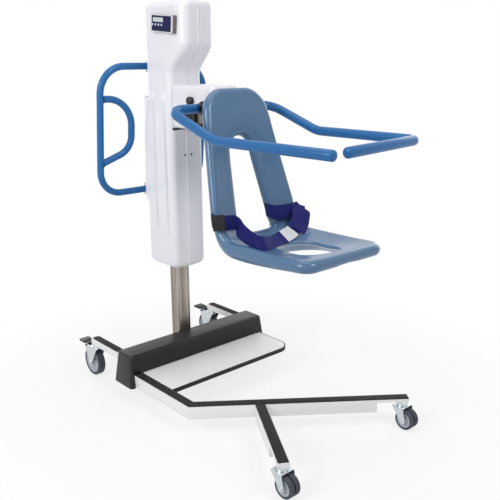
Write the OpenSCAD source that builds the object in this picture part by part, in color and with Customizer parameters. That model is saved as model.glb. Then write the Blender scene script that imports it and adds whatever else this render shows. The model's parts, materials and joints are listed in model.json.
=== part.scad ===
// Mobile bath lift: a wheeled base, a square mast, and a powered carriage with a seat and safety arms.
// Millimetres, +Z up, front towards -Y. Places are measured from the mast axis on the floor.

/* [Placement] */
// Mast axis to the right of the middle of the footprint
mast_x = -18; // [-60:1:40]
// Mast axis behind the middle of the footprint
mast_y = 377; // [300:1:450]

/* [Base] */
// Left end of the crossbeam cover, from the mast axis
cover_left = 334; // [300:1:380]
// Right end of the crossbeam cover, from the mast axis
cover_right = 370; // [340:1:420]
// Front of the crossbeam cover at its top
cover_front = 115; // [110:1:140]
// Rear of the crossbeam cover at its top, in front of the mast axis
cover_rear = 10; // [4:1:18]
// Height of the cover's top above the floor
cover_top = 197; // [190:1:230]
// Height of the cover's lower edge
cover_bottom = 65; // [50:1:68]
// How far the cover's sides flare out from top to bottom
cover_draft = 13; // [6:1:16]
// Wall of the cover
cover_wall = 4; // [2:0.5:5]
// Rounding of the cover's top edges
cover_round = 14; // [8:1:18]
// Front face of the crossbeam
beam_front = 100; // [90:1:104]
// Height of the crossbeam
beam_h = 81; // [70:1:84]
// Wall of the steel tubes of the base
tube_wall = 3; // [2:0.5:4]
// Width of a leg tube
leg_w = 42; // [38:1:46]
// Height of a leg tube
leg_h = 48; // [40:1:52]
// Height of the legs' top face above the floor
leg_top = 117; // [112:1:124]
// Outer side of the main leg
leg_side = 326; // [310:1:332]
// Place of the bend in the main leg, in front of the mast axis
bend_y = 466; // [430:1:500]
// Share of the diagonal leg at which the branch leg leaves it
branch_share = 0.318; // [0.25:0.01:0.4]
// Thickness of the flat leg ends that carry the front castors
tip_t = 10; // [8:1:14]
// How far the tall leg tube stops short of a front castor
tip_len = 100; // [80:1:120]
// How far a leg end reaches past its castor
tip_over = 20; // [16:1:26]
// Distance of the rear legs to the left of the mast axis
rear_left_x = 304; // [290:1:306]
// Distance of the rear legs to the right of the mast axis
rear_right_x = 336; // [320:1:338]
// Width of a rear leg
rear_w = 40; // [34:1:42]
// Height of a rear leg
rear_h = 25; // [20:1:28]
// Thickness of the black strips on the legs
strip_t = 3; // [2:0.5:4]
// Width of the black strips on the front legs
strip_w = 36; // [30:1:37]
// Front edge of the foot platform
platform_front = 326; // [300:1:360]
// Right end of the foot platform
platform_right = 354; // [340:1:358]
// Thickness of the foot platform
platform_t = 18; // [14:1:20]
// Corner radius of the foot platform
platform_r = 60; // [40:1:80]
// Thickness of the black edge of the platform
edge_t = 3; // [2:0.5:4]

/* [Castors] */
// Distance of the front castors to each side of the mast axis
castor_x = 314; // [300:1:325]
// Distance of the front castors in front of the mast axis
castor_y = 950; // [900:1:980]
// Distance of the rear castors behind the mast axis
castor_back = 196; // [180:1:220]
// Diameter of a front wheel
front_d = 75; // [70:1:75]
// Width of one of the twin front tyres
front_tyre_w = 19; // [16:1:20]
// Gap between the twin front tyres
twin_gap = 6; // [4:0.5:8]
// Trail of a front castor
front_trail = 24; // [20:1:30]
// Diameter of a rear wheel
rear_d = 125; // [120:1:126]
// Width of a rear tyre
rear_tyre_w = 33; // [28:1:34]
// Trail of a rear castor
rear_trail = 36; // [30:1:42]
// Thickness of a castor fork's sheet
fork_t = 3; // [2.5:0.5:4]
// Diameter of a castor kingpin
kingpin_d = 12; // [10:1:14]
// Diameter of a castor axle
axle_d = 8; // [6:1:10]

/* [Mast and drive] */
// Width of the square mast
mast_w = 60; // [56:1:60]
// Wall of the mast
mast_wall = 3; // [2:0.5:5]
// Corner radius of the mast
mast_r = 6; // [5:1:8]
// Height of the mast's top above the floor
mast_top = 1240; // [1235:1:1245]
// Diameter of the lead screw
screw_d = 16; // [14:1:16]
// Lead screw axis in front of the mast axis
screw_y = 58; // [56:1:60]
// Height of the lead nut above the floor
nut_z = 1060; // [1055:1:1065]

/* [Carriage] */
// Height of the housing's lower edge as drawn
house_bottom = 500; // [495:1:505]
// Height of the housing's top as drawn
house_top = 1550; // [1545:1:1570]
// Half the width of the housing
house_half = 80; // [78:1:84]
// Front of the housing below the head
house_front = 85; // [83:1:90]
// Rear of the lower housing
house_rear = 104; // [100:1:106]
// Front of the head
head_front = 178; // [170:1:182]
// Rear of the upper housing
head_rear = 76; // [74:1:80]
// Radius of the housing's upright edges
house_r = 22; // [18:1:28]
// Wall of the housing mouldings
house_wall = 4; // [3:0.5:5]
// Height at which the slope under the head starts
neck_z = 1297; // [1290:1:1305]
// Height at which the slope under the head ends
head_z = 1380; // [1370:1:1390]
// Height of the step at the rear of the housing
step_z = 1194; // [1188:1:1200]
// Rear of the battery cover at its lower corner
battery_rear = 150; // [144:1:150]
// Height of the seat beam's cover at its top
beam_top = 1243; // [1238:1:1248]
// Height of the seat beam's cover at its bottom
beam_low = 1077; // [1070:1:1084]
// Half the width of the seat beam's cover
beam_half = 66; // [62:1:70]
// Front end of the seat beam's cover
beam_reach = 327; // [322:1:330]

/* [Handles] */
// Radius of a handle tube
handle_r = 14; // [13:0.5:15]
// Wall of the handle and arm tubes
pipe_wall = 3; // [2:0.5:4]
// Distance of the handles' outer tubes from the middle
handle_x = 256; // [245:1:265]
// Distance of the handles behind the mast axis
handle_y = 125; // [122:1:128]
// Height of the handles' upper tubes
handle_top = 1311; // [1300:1:1330]
// Distance of the handles' lower tubes below the upper ones, along the handles
handle_drop = 514; // [505:1:520]
// Lean of the handles away from the housing towards their lower ends, in degrees
handle_lean = 5.9; // [5.5:0.05:6.5]
// Bend radius at the handles' upper corners
handle_bend_top = 105; // [80:1:110]
// Bend radius at the handles' lower corners
handle_bend_low = 95; // [80:1:110]
// Distance of the inner grip's upper leg below the upper tube
grip_top = 126; // [120:1:130]
// Distance of the inner grip's lower end below the upper tube
grip_low = 389; // [380:1:395]
// Distance of the inner grip's upright from the outer tube
grip_reach = 145; // [135:1:150]
// Rise of the inner grip's lower leg from the outer tube to the upright
grip_rise = 54; // [45:1:60]
// Bend radius at the inner grip's upper corner
grip_bend_top = 119; // [100:1:120]
// Bend radius at the inner grip's lower corner
grip_bend_low = 81; // [60:1:85]

/* [Seat] */
// Half the width of the seat
seat_half = 196; // [185:1:205]
// Half the width of the backrest near its top
back_half = 139; // [130:1:150]
// Thickness of the seat moulding
seat_t = 42; // [38:1:44]
// Height of the middle of the seat moulding
seat_z = 709; // [700:1:716]
// Front end of the seat
seat_front = 934; // [900:1:950]
// Top of the backrest
back_top = 1234; // [1230:1:1238]
// Place of the backrest's top in front of the mast axis
back_y = 356; // [354:1:362]
// Lean of the backrest from upright, in degrees
back_lean = 15.9; // [14.5:0.1:16.5]
// Bend radius between backrest and seat
seat_bend = 90; // [84:1:100]
// Radius of the seat's front corners
seat_corner = 55; // [40:1:70]
// Radius of the backrest's top corners
back_corner = 85; // [60:1:90]
// Half the width of the slot in the backrest at its top
slot_top_half = 52; // [44:1:56]
// Half the width of the slot in the backrest at its bottom
slot_low_half = 84; // [70:1:86]
// Height of the top of the slot
slot_top = 1086; // [1076:1:1090]
// Half the width of the opening in the seat
hole_half = 69; // [60:1:72]
// Length of the opening in the seat
hole_len = 216; // [190:1:225]
// Middle of the opening in the seat, in front of the mast axis
hole_y = 764; // [755:1:772]
// Width of the lap belt
belt_w = 50; // [40:1:52]
// Thickness of the lap belt
belt_t = 4; // [3:0.5:5]

/* [Arms] */
// Radius of a safety arm tube
arm_r = 17; // [16:0.5:18]
// Distance of the arms from the middle
arm_x = 245; // [235:1:255]
// Place of the arm pivots in front of the mast axis
pivot_y = 305; // [303:1:307]
// Height of the arm pivots
pivot_z = 1164; // [1160:1:1168]
// Height of the level part of the arms
arm_z = 1078; // [1070:1:1090]
// Place where the arms become level
arm_bend_y = 555; // [540:1:570]
// Free end of the left arm
arm_end = 1066; // [1050:1:1070]
// Corner of the right arm
arm_corner_y = 994; // [980:1:1000]
// Left end of the cross-bar of the right arm
bar_end_x = 165; // [150:1:170]
// Skew of the cross-bar, in degrees
bar_skew = 8; // [4:1:9]
// Bend radius of the arm tubes at the sides
arm_bend = 62; // [50:1:70]
// Bend radius at the corner of the right arm
bar_bend = 34; // [30:1:50]
// Bend radius where the arms become level
arm_ease = 160; // [120:1:180]

/* [Display] */
// Width of the display case along the housing
display_w = 144; // [138:1:146]
// Height of the display case
display_h = 64; // [60:1:68]
// Depth of the display case
display_d = 16; // [12:1:18]
// Depth of the control unit's middle below the housing's top
display_drop = 84; // [80:1:88]
// Middle of the display in front of the mast axis
display_y = 69; // [67:1:71]
// Radius of a display button
button_r = 4.5; // [3.5:0.5:5]
// Travel of a display button
button_travel = 1; // [0.6:0.1:1.4]

/* [Hidden] */
$fn = 48;
hull_sides = 32;

// Colours
white_paint = [0.92, 0.92, 0.94];
black_plastic = [0.13, 0.13, 0.15];
blue_coat = [0.20, 0.44, 0.70];
seat_blue = [0.36, 0.49, 0.64];
steel_grey = [0.62, 0.60, 0.57];
zinc_grey = [0.75, 0.77, 0.78];
board_green = [0.15, 0.4, 0.25];
belt_navy = [0.14, 0.16, 0.43];
case_navy = [0.10, 0.12, 0.28];
pane_grey = [0.55, 0.68, 0.74];
cap_grey = [0.85, 0.86, 0.92];

// Overrun of cuts, running clearance of turning fits, and clearance between free faces
over = 1;
run_fit = 0.05;
free_gap = 0.3;
slide_gap = 0.5;

// Base, derived
leg_z = leg_top - leg_h;
mast_half = mast_w/2;
beam_z = leg_z;
beam_high = beam_z + beam_h;
beam_end = rear_right_x + rear_w/2;
main_x = -leg_side + leg_w/2;
bend = [main_x, -bend_y];
right_castor = [castor_x, -castor_y];
left_castor = [-castor_x, -castor_y];
diagonal_dir = unit(right_castor - bend);
fork_point = bend + (right_castor - bend)*branch_share;
branch_dir = unit(left_castor - fork_point);
platform_left = -leg_side + leg_w;
platform_z = leg_top + strip_t - platform_t;
platform_back = cover_front + cover_draft*(cover_top - leg_top)/(cover_top - cover_bottom);
bracket_w = 40;
bracket_t = 12;
bracket_shares = [-0.2, 0.8];
bracket_xs = bracket_shares*cover_left;
gusset_t = 6;
gusset_len = 90;
rear_end = castor_back + tip_over;
rear_strip_in = 4;
rear_strip_w = rear_w - 2*rear_strip_in;
strip_round = 12;

// Castors, derived
ring_r = 22;
ring_gap = free_gap;
fork_plate_t = fork_t;
front_plate_z = 84;
rear_plate_z = 136;
pin_head_r = 10;
pin_head_t = 5;
front_r = front_d/2;
rear_r = rear_d/2;
fork_room = 4.5;
front_inner = 2*front_tyre_w + twin_gap + 2*fork_room;
rear_inner = rear_tyre_w + 2*fork_room;
front_rim_share = 0.68;
rear_rim_share = 0.72;
front_rim_r = front_r*front_rim_share;
rear_rim_r = rear_r*rear_rim_share;
hub_r = 11;
hub_web_t = 8;
bolt_r = 7;
bolt_t = 4;
hub_play = 0.5;
tyre_edge_share = 0.2;
lug_r = 12;
pedal_y = 62;
pedal_z = 134;
pedal_pin_r = 4;
pedal_arm_r = 7;
pedal_reach = 64;
pedal_pad_len = 42;
pedal_pad_w = 44;
pedal_pad_t = 9;

// Mast and drive, derived
guide_half = 38;
frame_t = 6;
frame_half = guide_half + frame_t;
frame_front = 36;
frame_rise = 5;
frame_low = house_bottom + frame_rise;
frame_drop = 150;
frame_high = house_top - frame_drop;
guide_h = 50;
guide_lip = 18;
guide_high = 760;
nut_h = 30;
nut_half = 17;
shelf_t = 5;
shelf_drop = 40;
shelf_z = frame_high - shelf_drop;
shelf_front = 138;
shelf_rear = mast_half + slide_gap + run_fit;
foot_shelf_z = 625;
ear_half = house_half - house_wall - free_gap;
ear_front = 56;
foot_shelf_t = 13;
foot_shelf_front = 72;
gearbox_half = 36;
gearbox_h = 40;
motor_r = 31;
motor_y = 104;
motor_len = 112;

// Housing, derived
foot_round = 26;
lid_round = 25;
lid_z = house_top - lid_round;
display_z = house_top - display_drop;
step_r = 5;
arc_steps = 6;
round_step = 30;
base_t = 4;
rib_w = 28;
rib_d = 5;
rib_low = 625;
rib_top = 1212;
rib_ys = [38, -36];
battery_top = step_z;
battery_corner = 798;
battery_end = 745;
battery_top_rear = 132;
battery_half = 64;
battery_wall = 3;
window_half = 58;
window_low = 880;
window_high = 1165;
pack_front = 50;
board_t = 18;
beam_round = 18;
beam_window = 52;
cheek_t = 6;
cheek_low = 1100;
cheek_high = 1198;
pivot_block_r = 25;
pivot_block_out = 98;
pivot_seat_x = 56;
spigot_r = 13;
spigot_grip = 40;
bend_steps = 8;
bar_sides = 24;
dome_share = 0.6;
dome_angles = [30, 60, 85];
knob_y = 205;
knob_z = 1186;
knob_r = 16;
knob_t = 20;
stud_r = 5;
screw_head_r = 4;
screw_head_t = 2;
screw_x = 16;
screw_zs = [560, 968];
clamp_half_w = 34;
clamp_half_h = 24;
clamp_back = 18;
handle_low_y = handle_y + handle_drop*sin(handle_lean);
handle_low_z = handle_top - handle_drop*cos(handle_lean);

// Seat, derived
back_dir = [0, -sin(back_lean), -cos(back_lean)];
back_normal = [0, cos(back_lean), -sin(back_lean)];
back_start = [0, -back_y, back_top];
seat_corner_y = -back_y - (back_top - seat_z)*tan(back_lean);
bend_turn = 90 - back_lean;
bend_cut = seat_bend*tan(bend_turn/2);
back_run = (back_top - seat_z)/cos(back_lean) - bend_cut;
bend_run = seat_bend*bend_turn*PI/180;
seat_run = seat_front + seat_corner_y - bend_cut;
seat_total = back_run + bend_run + seat_run;
bend_centre = [0, seat_corner_y - bend_cut, seat_z + seat_bend];
waist_run = 430;
seat_dish = 26;
dish_from = 80;
dish_run = 180;
seat_swell = 16;
swell_run = 90;
swell_end_run = 330;
across_steps = 8;
edge_share = 0.1;
slot_share = 0.55;
slot_cut = 5*seat_t;
buckle_t = 8;
buckle_w = 34;
buckle_over = 3;
buckle_turn = 45;
mount_t = 8;
mount_low = 80;
mount_high = 24;
mount_half = 56;

// Display, derived
case_face = -house_half - display_d;
display_turn = 5;
window_w = 68;
window_h = 16;
window_t = 2;
window_y = 22;
window_z = 13;
button_ys = [55, 36, 17, -2];
button_z = -5;
button_t = 6;
button_proud = 2;

// Unit vector along v
function unit(v) = v/norm(v);

// Left-hand normal of a plan direction
function side(d) = [-d.y, d.x];

// Point where the plan line through p along d meets the line through q along e
function meet(p, d, q, e) = p + d*((q - p)*side(e))/(d*side(e));

// Moves a shape from the mast axis to its place in the part's frame
module at_mast() {
    translate([mast_x, mast_y, 0])
        children();
}

// Flat ring
module ring(r, inner) {
    difference() {
        circle(r);
        circle(inner);
    }
}

// Straight hollow tube from a to b
module straight_tube(a, b, r, wall) {
    d = b - a;
    translate(a)
        rotate([0, acos(d.z/norm(d)), atan2(d.y, d.x)])
            linear_extrude(norm(d))
                ring(r, r - wall);
}

// Bent hollow tube at the corner p, from direction d1 into direction d2
module bent_tube(p, d1, d2, bend_r, r, wall) {
    turn = acos(d1*d2);
    c = p + unit(d2 - d1)*bend_r/cos(turn/2);
    u = unit(p - d1*bend_r*tan(turn/2) - c);
    w = cross(u, d1);
    multmatrix([[u.x, d1.x, w.x, c.x], [u.y, d1.y, w.y, c.y], [u.z, d1.z, w.z, c.z], [0, 0, 0, 1]])
        rotate_extrude(angle = turn)
            translate([bend_r, 0])
                ring(r, r - wall);
}

// Hollow tube through corner points, with a bend radius at each inner corner
module tube_path(points, bends, r, wall) {
    last = len(points) - 1;
    dirs = [for (i = [0:last - 1]) unit(points[i + 1] - points[i])];
    cuts = [
        for (i = [0:last])
            i == 0 || i == last ? 0 : bends[i - 1]*tan(acos(dirs[i - 1]*dirs[i])/2)
    ];
    for (i = [0:last - 1])
        straight_tube(points[i] + dirs[i]*cuts[i], points[i + 1] - dirs[i]*cuts[i + 1], r, wall);
    for (i = [1:last - 1])
        bent_tube(points[i], dirs[i - 1], dirs[i], bends[i - 1], r, wall);
}

// End face of a loft; the face of a wall section is a strip between its two sides
function cap(n, strips) =
    strips
        ? [for (i = [0:n/2 - 2]) [i, i + 1, n - 2 - i, n - 1 - i]]
        : [[for (i = [0:n - 1]) i]];

// Closed skin over loops of equal length, each anticlockwise seen from the far end
module loft(loops, strips = false) {
    n = len(loops[0]);
    last = len(loops) - 1;
    polyhedron(
        points = [for (l = loops) each l],
        faces = [
            each cap(n, strips),
            for (j = [0:last - 1])
                for (i = [0:n - 1])
                    each [
                        [j*n + i, (j + 1)*n + i, (j + 1)*n + (i + 1)%n],
                        [j*n + i, (j + 1)*n + (i + 1)%n, j*n + (i + 1)%n]
                    ],
            for (face = cap(n, strips)) [for (k = [len(face) - 1:-1:0]) last*n + face[k]]
        ]
    );
}

// Box from its lowest to its highest corner
module box(low, high) {
    translate(low)
        cube(high - low);
}

// Cylinder along X from x0 to x1
module rod_x(x0, x1, y, z, r) {
    translate([x0, y, z])
        rotate([0, 90, 0])
            cylinder(h = x1 - x0, r = r);
}

// Square tube section with rounded corners
module rounded_square(half, r) {
    for (turn = [0, 90])
        rotate(turn)
            square([2*half, 2*(half - r)], center = true);
    for (sx = [-1, 1])
        for (sy = [-1, 1])
            translate([sx*(half - r), sy*(half - r)])
                circle(r);
}

// Welded base

module crossbeam() {
    at_mast() color(white_paint) difference() {
        box([-leg_side, -beam_front, beam_z], [beam_end, -mast_half, beam_high]);
        box(
            [-leg_side + tube_wall, -beam_front + tube_wall, beam_z + tube_wall],
            [beam_end + over, -mast_half - tube_wall, beam_high - tube_wall]
        );
    }
}

// Plan outline of the main leg, w wide, mitred at the bend
function main_outline(w) =
    let (mitre = unit(diagonal_dir + [0, -1]))
    [
        [main_x - w/2, -beam_front],
        meet([main_x - w/2, 0], [0, -1], bend, side(mitre)),
        meet([main_x + w/2, 0], [0, -1], bend, side(mitre)),
        [main_x + w/2, -beam_front]
    ];

// Plan outline of the diagonal leg, w wide, that stops short of the castor by stop
function diagonal_outline(w, stop) =
    let (
        mitre = unit(diagonal_dir + [0, -1]),
        n = side(diagonal_dir)*w/2,
        end = right_castor - diagonal_dir*stop
    )
    [
        meet(bend - n, diagonal_dir, bend, side(mitre)),
        end - n,
        end + n,
        meet(bend + n, diagonal_dir, bend, side(mitre))
    ];

// Plan outline of the branch leg, w wide, that starts at the diagonal's front side
function branch_outline(w, stop) =
    let (
        n = side(branch_dir)*w/2,
        front = bend - side(diagonal_dir)*leg_w/2,
        end = left_castor - branch_dir*stop
    )
    [
        meet(fork_point - n, branch_dir, front, diagonal_dir),
        end - n,
        end + n,
        meet(fork_point + n, branch_dir, front, diagonal_dir)
    ];

// Flat leg end from the tall tube to past the castor, with the kingpin's hole
module leg_tip(castor, d, w) {
    difference() {
        translate([0, 0, leg_top - tip_t])
            linear_extrude(tip_t)
                polygon([
                    castor - d*tip_len - side(d)*w/2,
                    castor + d*tip_over - side(d)*w/2,
                    castor + d*tip_over + side(d)*w/2,
                    castor - d*tip_len + side(d)*w/2
                ]);
        translate([castor.x, castor.y, 0])
            cylinder(h = leg_top + over, d = kingpin_d + 2*run_fit);
    }
}

module main_leg() {
    at_mast() color(white_paint) difference() {
        translate([0, 0, leg_z])
            linear_extrude(leg_h)
                polygon(main_outline(leg_w));
        translate([0, 0, leg_z + tube_wall])
            linear_extrude(leg_h - 2*tube_wall)
                polygon(main_outline(leg_w - 2*tube_wall));
    }
}

module diagonal_leg() {
    at_mast() color(white_paint) {
        difference() {
            translate([0, 0, leg_z])
                linear_extrude(leg_h)
                    polygon(diagonal_outline(leg_w, tip_len));
            translate([0, 0, leg_z + tube_wall])
                linear_extrude(leg_h - 2*tube_wall)
                    polygon(diagonal_outline(leg_w - 2*tube_wall, tip_len + tube_wall));
        }
        leg_tip(right_castor, diagonal_dir, leg_w);
    }
}

module branch_leg() {
    at_mast() color(white_paint) {
        difference() {
            translate([0, 0, leg_z])
                linear_extrude(leg_h)
                    polygon(branch_outline(leg_w, tip_len));
            translate([0, 0, leg_z + tube_wall])
                linear_extrude(leg_h - 2*tube_wall)
                    polygon(branch_outline(leg_w - 2*tube_wall, tip_len + tube_wall));
        }
        leg_tip(left_castor, branch_dir, leg_w);
    }
}

module rear_legs() {
    at_mast() color(white_paint)
        for (x = [-rear_left_x, rear_right_x])
            difference() {
                box([x - rear_w/2, -beam_front, beam_high], [x + rear_w/2, rear_end, beam_high + rear_h]);
                box(
                    [x - rear_w/2 + tube_wall, -beam_front - over, beam_high + tube_wall],
                    [x + rear_w/2 - tube_wall, castor_back - ring_r, beam_high + rear_h - tube_wall]
                );
                translate([x, castor_back, 0])
                    cylinder(h = beam_high + rear_h + over, d = kingpin_d + 2*run_fit);
            }
}

module leg_strips() {
    front = -platform_back;
    strip_main = main_outline(strip_w);
    at_mast() color(black_plastic) {
        translate([0, 0, leg_top])
            linear_extrude(strip_t) {
                polygon([[strip_main[0].x, front], strip_main[1], strip_main[2], [strip_main[3].x, front]]);
                polygon(diagonal_outline(strip_w, -tip_over));
            }
        translate([0, 0, leg_top])
            linear_extrude(strip_t)
                polygon(branch_outline(strip_w, -tip_over + strip_t));
        for (x = [-rear_left_x, rear_right_x])
            translate([x, 0, beam_high + rear_h])
                linear_extrude(strip_t)
                    for (dx = [-1, 1]) {
                        translate([dx*(rear_strip_w/2 - strip_round), rear_end - strip_round])
                            circle(strip_round);
                        translate([-rear_strip_w/2, cover_draft])
                            square([rear_strip_w, rear_end - strip_round - cover_draft]);
                        translate([-rear_strip_w/2 + strip_round, cover_draft])
                            square([rear_strip_w - 2*strip_round, rear_end - cover_draft]);
                    }
    }
}

// Solid form of the crossbeam cover, grown inwards by wall
module cover_form(wall) {
    inset = cover_round;
    hull() {
        for (x = [-cover_left + inset, cover_right - inset])
            for (y = [-cover_front + inset, -cover_rear - inset])
                translate([x, y, cover_top - cover_round])
                    sphere(cover_round - wall, $fn = hull_sides);
        for (x = [-cover_left - cover_draft + inset, cover_right + cover_draft - inset])
            for (y = [-cover_front - cover_draft + inset, -cover_rear + cover_draft - inset])
                translate([x, y, cover_bottom - (wall > 0 ? over : 0)])
                    cylinder(h = over, r = cover_round - wall, $fn = hull_sides);
    }
}

module crossbeam_cover() {
    notch = mast_half + slide_gap;
    at_mast() color(black_plastic) difference() {
        cover_form(0);
        cover_form(cover_wall);
        // Opening over the platform and the main leg
        box(
            [-leg_side - free_gap, -cover_front - cover_draft - over, cover_bottom - over],
            [platform_right + free_gap, -cover_front + cover_round, leg_top + strip_t + free_gap]
        );
        // Notch round the mast
        box([-notch, -notch, cover_bottom - over], [notch, cover_draft + over, cover_top + over]);
        // Opening for the gussets
        box(
            [-mast_half - gusset_len - slide_gap, -cover_rear - cover_round, cover_bottom - over],
            [mast_half + gusset_len + slide_gap, cover_draft + over, beam_high + slide_gap]
        );
        // Openings for the rear legs
        for (x = [-rear_left_x, rear_right_x])
            box(
                [x - rear_w/2 - slide_gap, -cover_rear - cover_round, beam_high - slide_gap],
                [x + rear_w/2 + slide_gap, cover_draft + over, beam_high + rear_h + strip_t + slide_gap]
            );
    }
}

// Plan outline of the platform, with its front right corner rounded
module platform_outline(grow) {
    right = platform_right + grow;
    front = -platform_front - grow;
    translate([platform_left, front + platform_r])
        square([right - platform_left, platform_front - platform_r + grow - platform_back - free_gap]);
    translate([platform_left, front])
        square([right - platform_r - platform_left, platform_r]);
    translate([right - platform_r, front + platform_r])
        circle(platform_r);
}

module foot_platform() {
    at_mast() color(white_paint)
        translate([0, 0, platform_z])
            linear_extrude(platform_t)
                platform_outline(-edge_t);
}

module platform_edge() {
    at_mast() color(black_plastic)
        translate([0, 0, platform_z])
            linear_extrude(platform_t)
                difference() {
                    platform_outline(0);
                    platform_outline(-edge_t);
                }
}

module platform_brackets() {
    at_mast() color(white_paint)
        for (x = bracket_xs)
            box(
                [x - bracket_w/2, -platform_front + platform_r, platform_z - bracket_t],
                [x + bracket_w/2, -beam_front, platform_z]
            );
}

// Mast and drive

module mast() {
    at_mast() color(steel_grey)
        translate([0, 0, beam_z])
            linear_extrude(mast_top - beam_z)
                difference() {
                    rounded_square(mast_half, mast_r);
                    rounded_square(mast_half - mast_wall, mast_r - mast_wall);
                }
}

module mast_gussets() {
    deep = mast_w - mast_r;
    at_mast() color(white_paint)
        for (s = [0, 1])
            mirror([s, 0, 0])
                translate([mast_half, -mast_half, beam_z])
                    linear_extrude(beam_h)
                        polygon([[0, 0], [gusset_len, 0], [gusset_t, deep], [0, deep]]);
}

module lead_nut() {
    at_mast() color(zinc_grey)
        translate([0, 0, nut_z - nut_h/2])
            difference() {
                union() {
                    box([-nut_half, -screw_y, 0], [nut_half, -mast_half, nut_h]);
                    translate([0, -screw_y, 0])
                        cylinder(h = nut_h, r = nut_half);
                }
                translate([0, -screw_y, -over])
                    cylinder(h = nut_h + 2*over, d = screw_d + 2*run_fit);
            }
}

module carriage_frame() {
    at_mast() color(zinc_grey) difference() {
        union() {
            box([-frame_half, guide_half, frame_low], [frame_half, frame_half, frame_high]);
            for (s = [-1, 1])
                box(
                    [s < 0 ? -frame_half : guide_half, -frame_front, frame_low],
                    [s < 0 ? -guide_half : frame_half, frame_half, frame_high]
                );
            box([-frame_half, -shelf_front, shelf_z], [frame_half, -shelf_rear, shelf_z + shelf_t]);
            box(
                [-frame_half, -foot_shelf_front, foot_shelf_z],
                [frame_half, -shelf_rear, foot_shelf_z + foot_shelf_t]
            );
            for (z = [foot_shelf_z, shelf_z])
                box([-ear_half, -ear_front, z], [ear_half, -shelf_rear, z + shelf_t]);
        }
        translate([0, -screw_y, frame_low])
            cylinder(h = frame_high - frame_low, d = screw_d + 2*run_fit);
    }
}

module guide_blocks() {
    inner = mast_half + slide_gap;
    at_mast() color(black_plastic)
        for (z = [frame_low, guide_high])
            translate([0, 0, z])
                linear_extrude(guide_h)
                    difference() {
                        translate([-guide_half, -frame_front])
                            square([2*guide_half, frame_front + guide_half]);
                        square(2*inner, center = true);
                        translate([-guide_lip, -frame_front - over])
                            square([2*guide_lip, frame_front]);
                    }
}

module gearbox() {
    z = shelf_z + shelf_t;
    at_mast() color(zinc_grey) difference() {
        box([-gearbox_half, -shelf_front, z], [gearbox_half, -frame_front, z + gearbox_h]);
        translate([0, -screw_y, z - over])
            cylinder(h = gearbox_h, d = screw_d + 2*run_fit);
    }
}

module motor() {
    z = shelf_z + shelf_t + gearbox_h;
    at_mast() color(black_plastic)
        translate([0, -motor_y, z])
            cylinder(h = motor_len, r = motor_r);
}

module lead_screw() {
    z = foot_shelf_z + shelf_t;
    at_mast() color(steel_grey)
        translate([0, -screw_y, z])
            cylinder(h = shelf_z + shelf_t + gearbox_h/2 - z, d = screw_d);
}

// Carriage mouldings

// Left half of a rounded plan outline at height z, from the rear middle round to the front middle
function half_outline(half, front, rear, r, z) = [
    [0, rear, z],
    for (i = [0:arc_steps])
        let (a = 90 + 90*i/arc_steps)
        [-half + r + r*cos(a), rear - r + r*sin(a), z],
    for (i = [0:arc_steps])
        let (a = 180 + 90*i/arc_steps)
        [-half + r + r*cos(a), front + r + r*sin(a), z],
    [0, front, z]
];

function reversed(list) = [for (i = [len(list) - 1:-1:0]) list[i]];

// Full rounded plan outline
function full_outline(half, front, rear, r, z) =
    let (left = half_outline(half, front, rear, r, z), last = len(left) - 2)
    concat([for (i = [1:last]) left[i]], [for (i = [last:-1:1]) [-left[i].x, left[i].y, z]]);

// Steps of the curve between neck and head and how far it runs past them
neck_steps = 8;
neck_ease = 18;
// Height, inset, front and rear of the housing at each level
house_levels = [
    for (a = [0:round_step:90])
        [house_bottom + foot_round*(1 - cos(a)), foot_round*(1 - sin(a)), -house_front, house_rear],
    [step_z - step_r, 0, -house_front, house_rear],
    [step_z, 0, -house_front, head_rear],
    for (i = [0:neck_steps])
        let (share = i/neck_steps)
        [
            neck_z - neck_ease + (head_z - neck_z + 2*neck_ease)*share, 0,
            -house_front - (head_front - house_front)*ease(share), head_rear
        ],
    [lid_z, 0, -head_front, head_rear]
];

// Wall section of the left housing half at one level
function shell_loop(level) =
    let (
        inset = level[1],
        outer = half_outline(house_half - inset, level[2] + inset, level[3] - inset, house_r, level[0]),
        skin = inset + house_wall,
        inner_r = house_r - house_wall,
        inner = half_outline(house_half - skin, level[2] + skin, level[3] - skin, inner_r, level[0])
    )
    concat(outer, reversed(inner));

// Left half of the housing with its upright ribs
module housing_half() {
    difference() {
        union() {
            loft([for (l = house_levels) shell_loop(l)], strips = true);
            for (y = rib_ys)
                translate([-house_half - rib_d, y, 0])
                    rotate([90, 0, 90])
                        linear_extrude(rib_d + house_wall/2) {
                            translate([-rib_w/2, rib_low])
                                square([rib_w, rib_top - rib_w/2 - rib_low]);
                            translate([0, rib_top - rib_w/2])
                                circle(rib_w/2);
                        }
        }
        // Opening for the seat bracket
        box(
            [-beam_window, -house_front - over, cheek_low - over],
            [over, -house_front + house_r, cheek_high + over]
        );
        // Opening for the battery
        box([-window_half, house_rear - house_r, window_low], [over, house_rear + over, window_high]);
    }
}

module housing_left() {
    at_mast() color(white_paint)
        housing_half();
}

module housing_right() {
    at_mast() color(white_paint)
        mirror([1, 0, 0])
            housing_half();
}

// Domed form of the head's lid, grown inwards by wall
module lid_form(wall) {
    loft([
        for (a = [wall > 0 ? -round_step : 0, for (k = [round_step:round_step:90]) k])
            let (inset = wall + (a < 0 ? 0 : lid_round*(1 - cos(a))))
            full_outline(
                house_half - inset,
                -head_front + inset,
                head_rear - inset,
                house_r - wall,
                lid_z + (a < 0 ? -over : (lid_round - wall)*sin(a))
            )
    ], strips = true);
}

module head_lid() {
    at_mast() color(white_paint) difference() {
        lid_form(0);
        lid_form(house_wall);
    }
}

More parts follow.
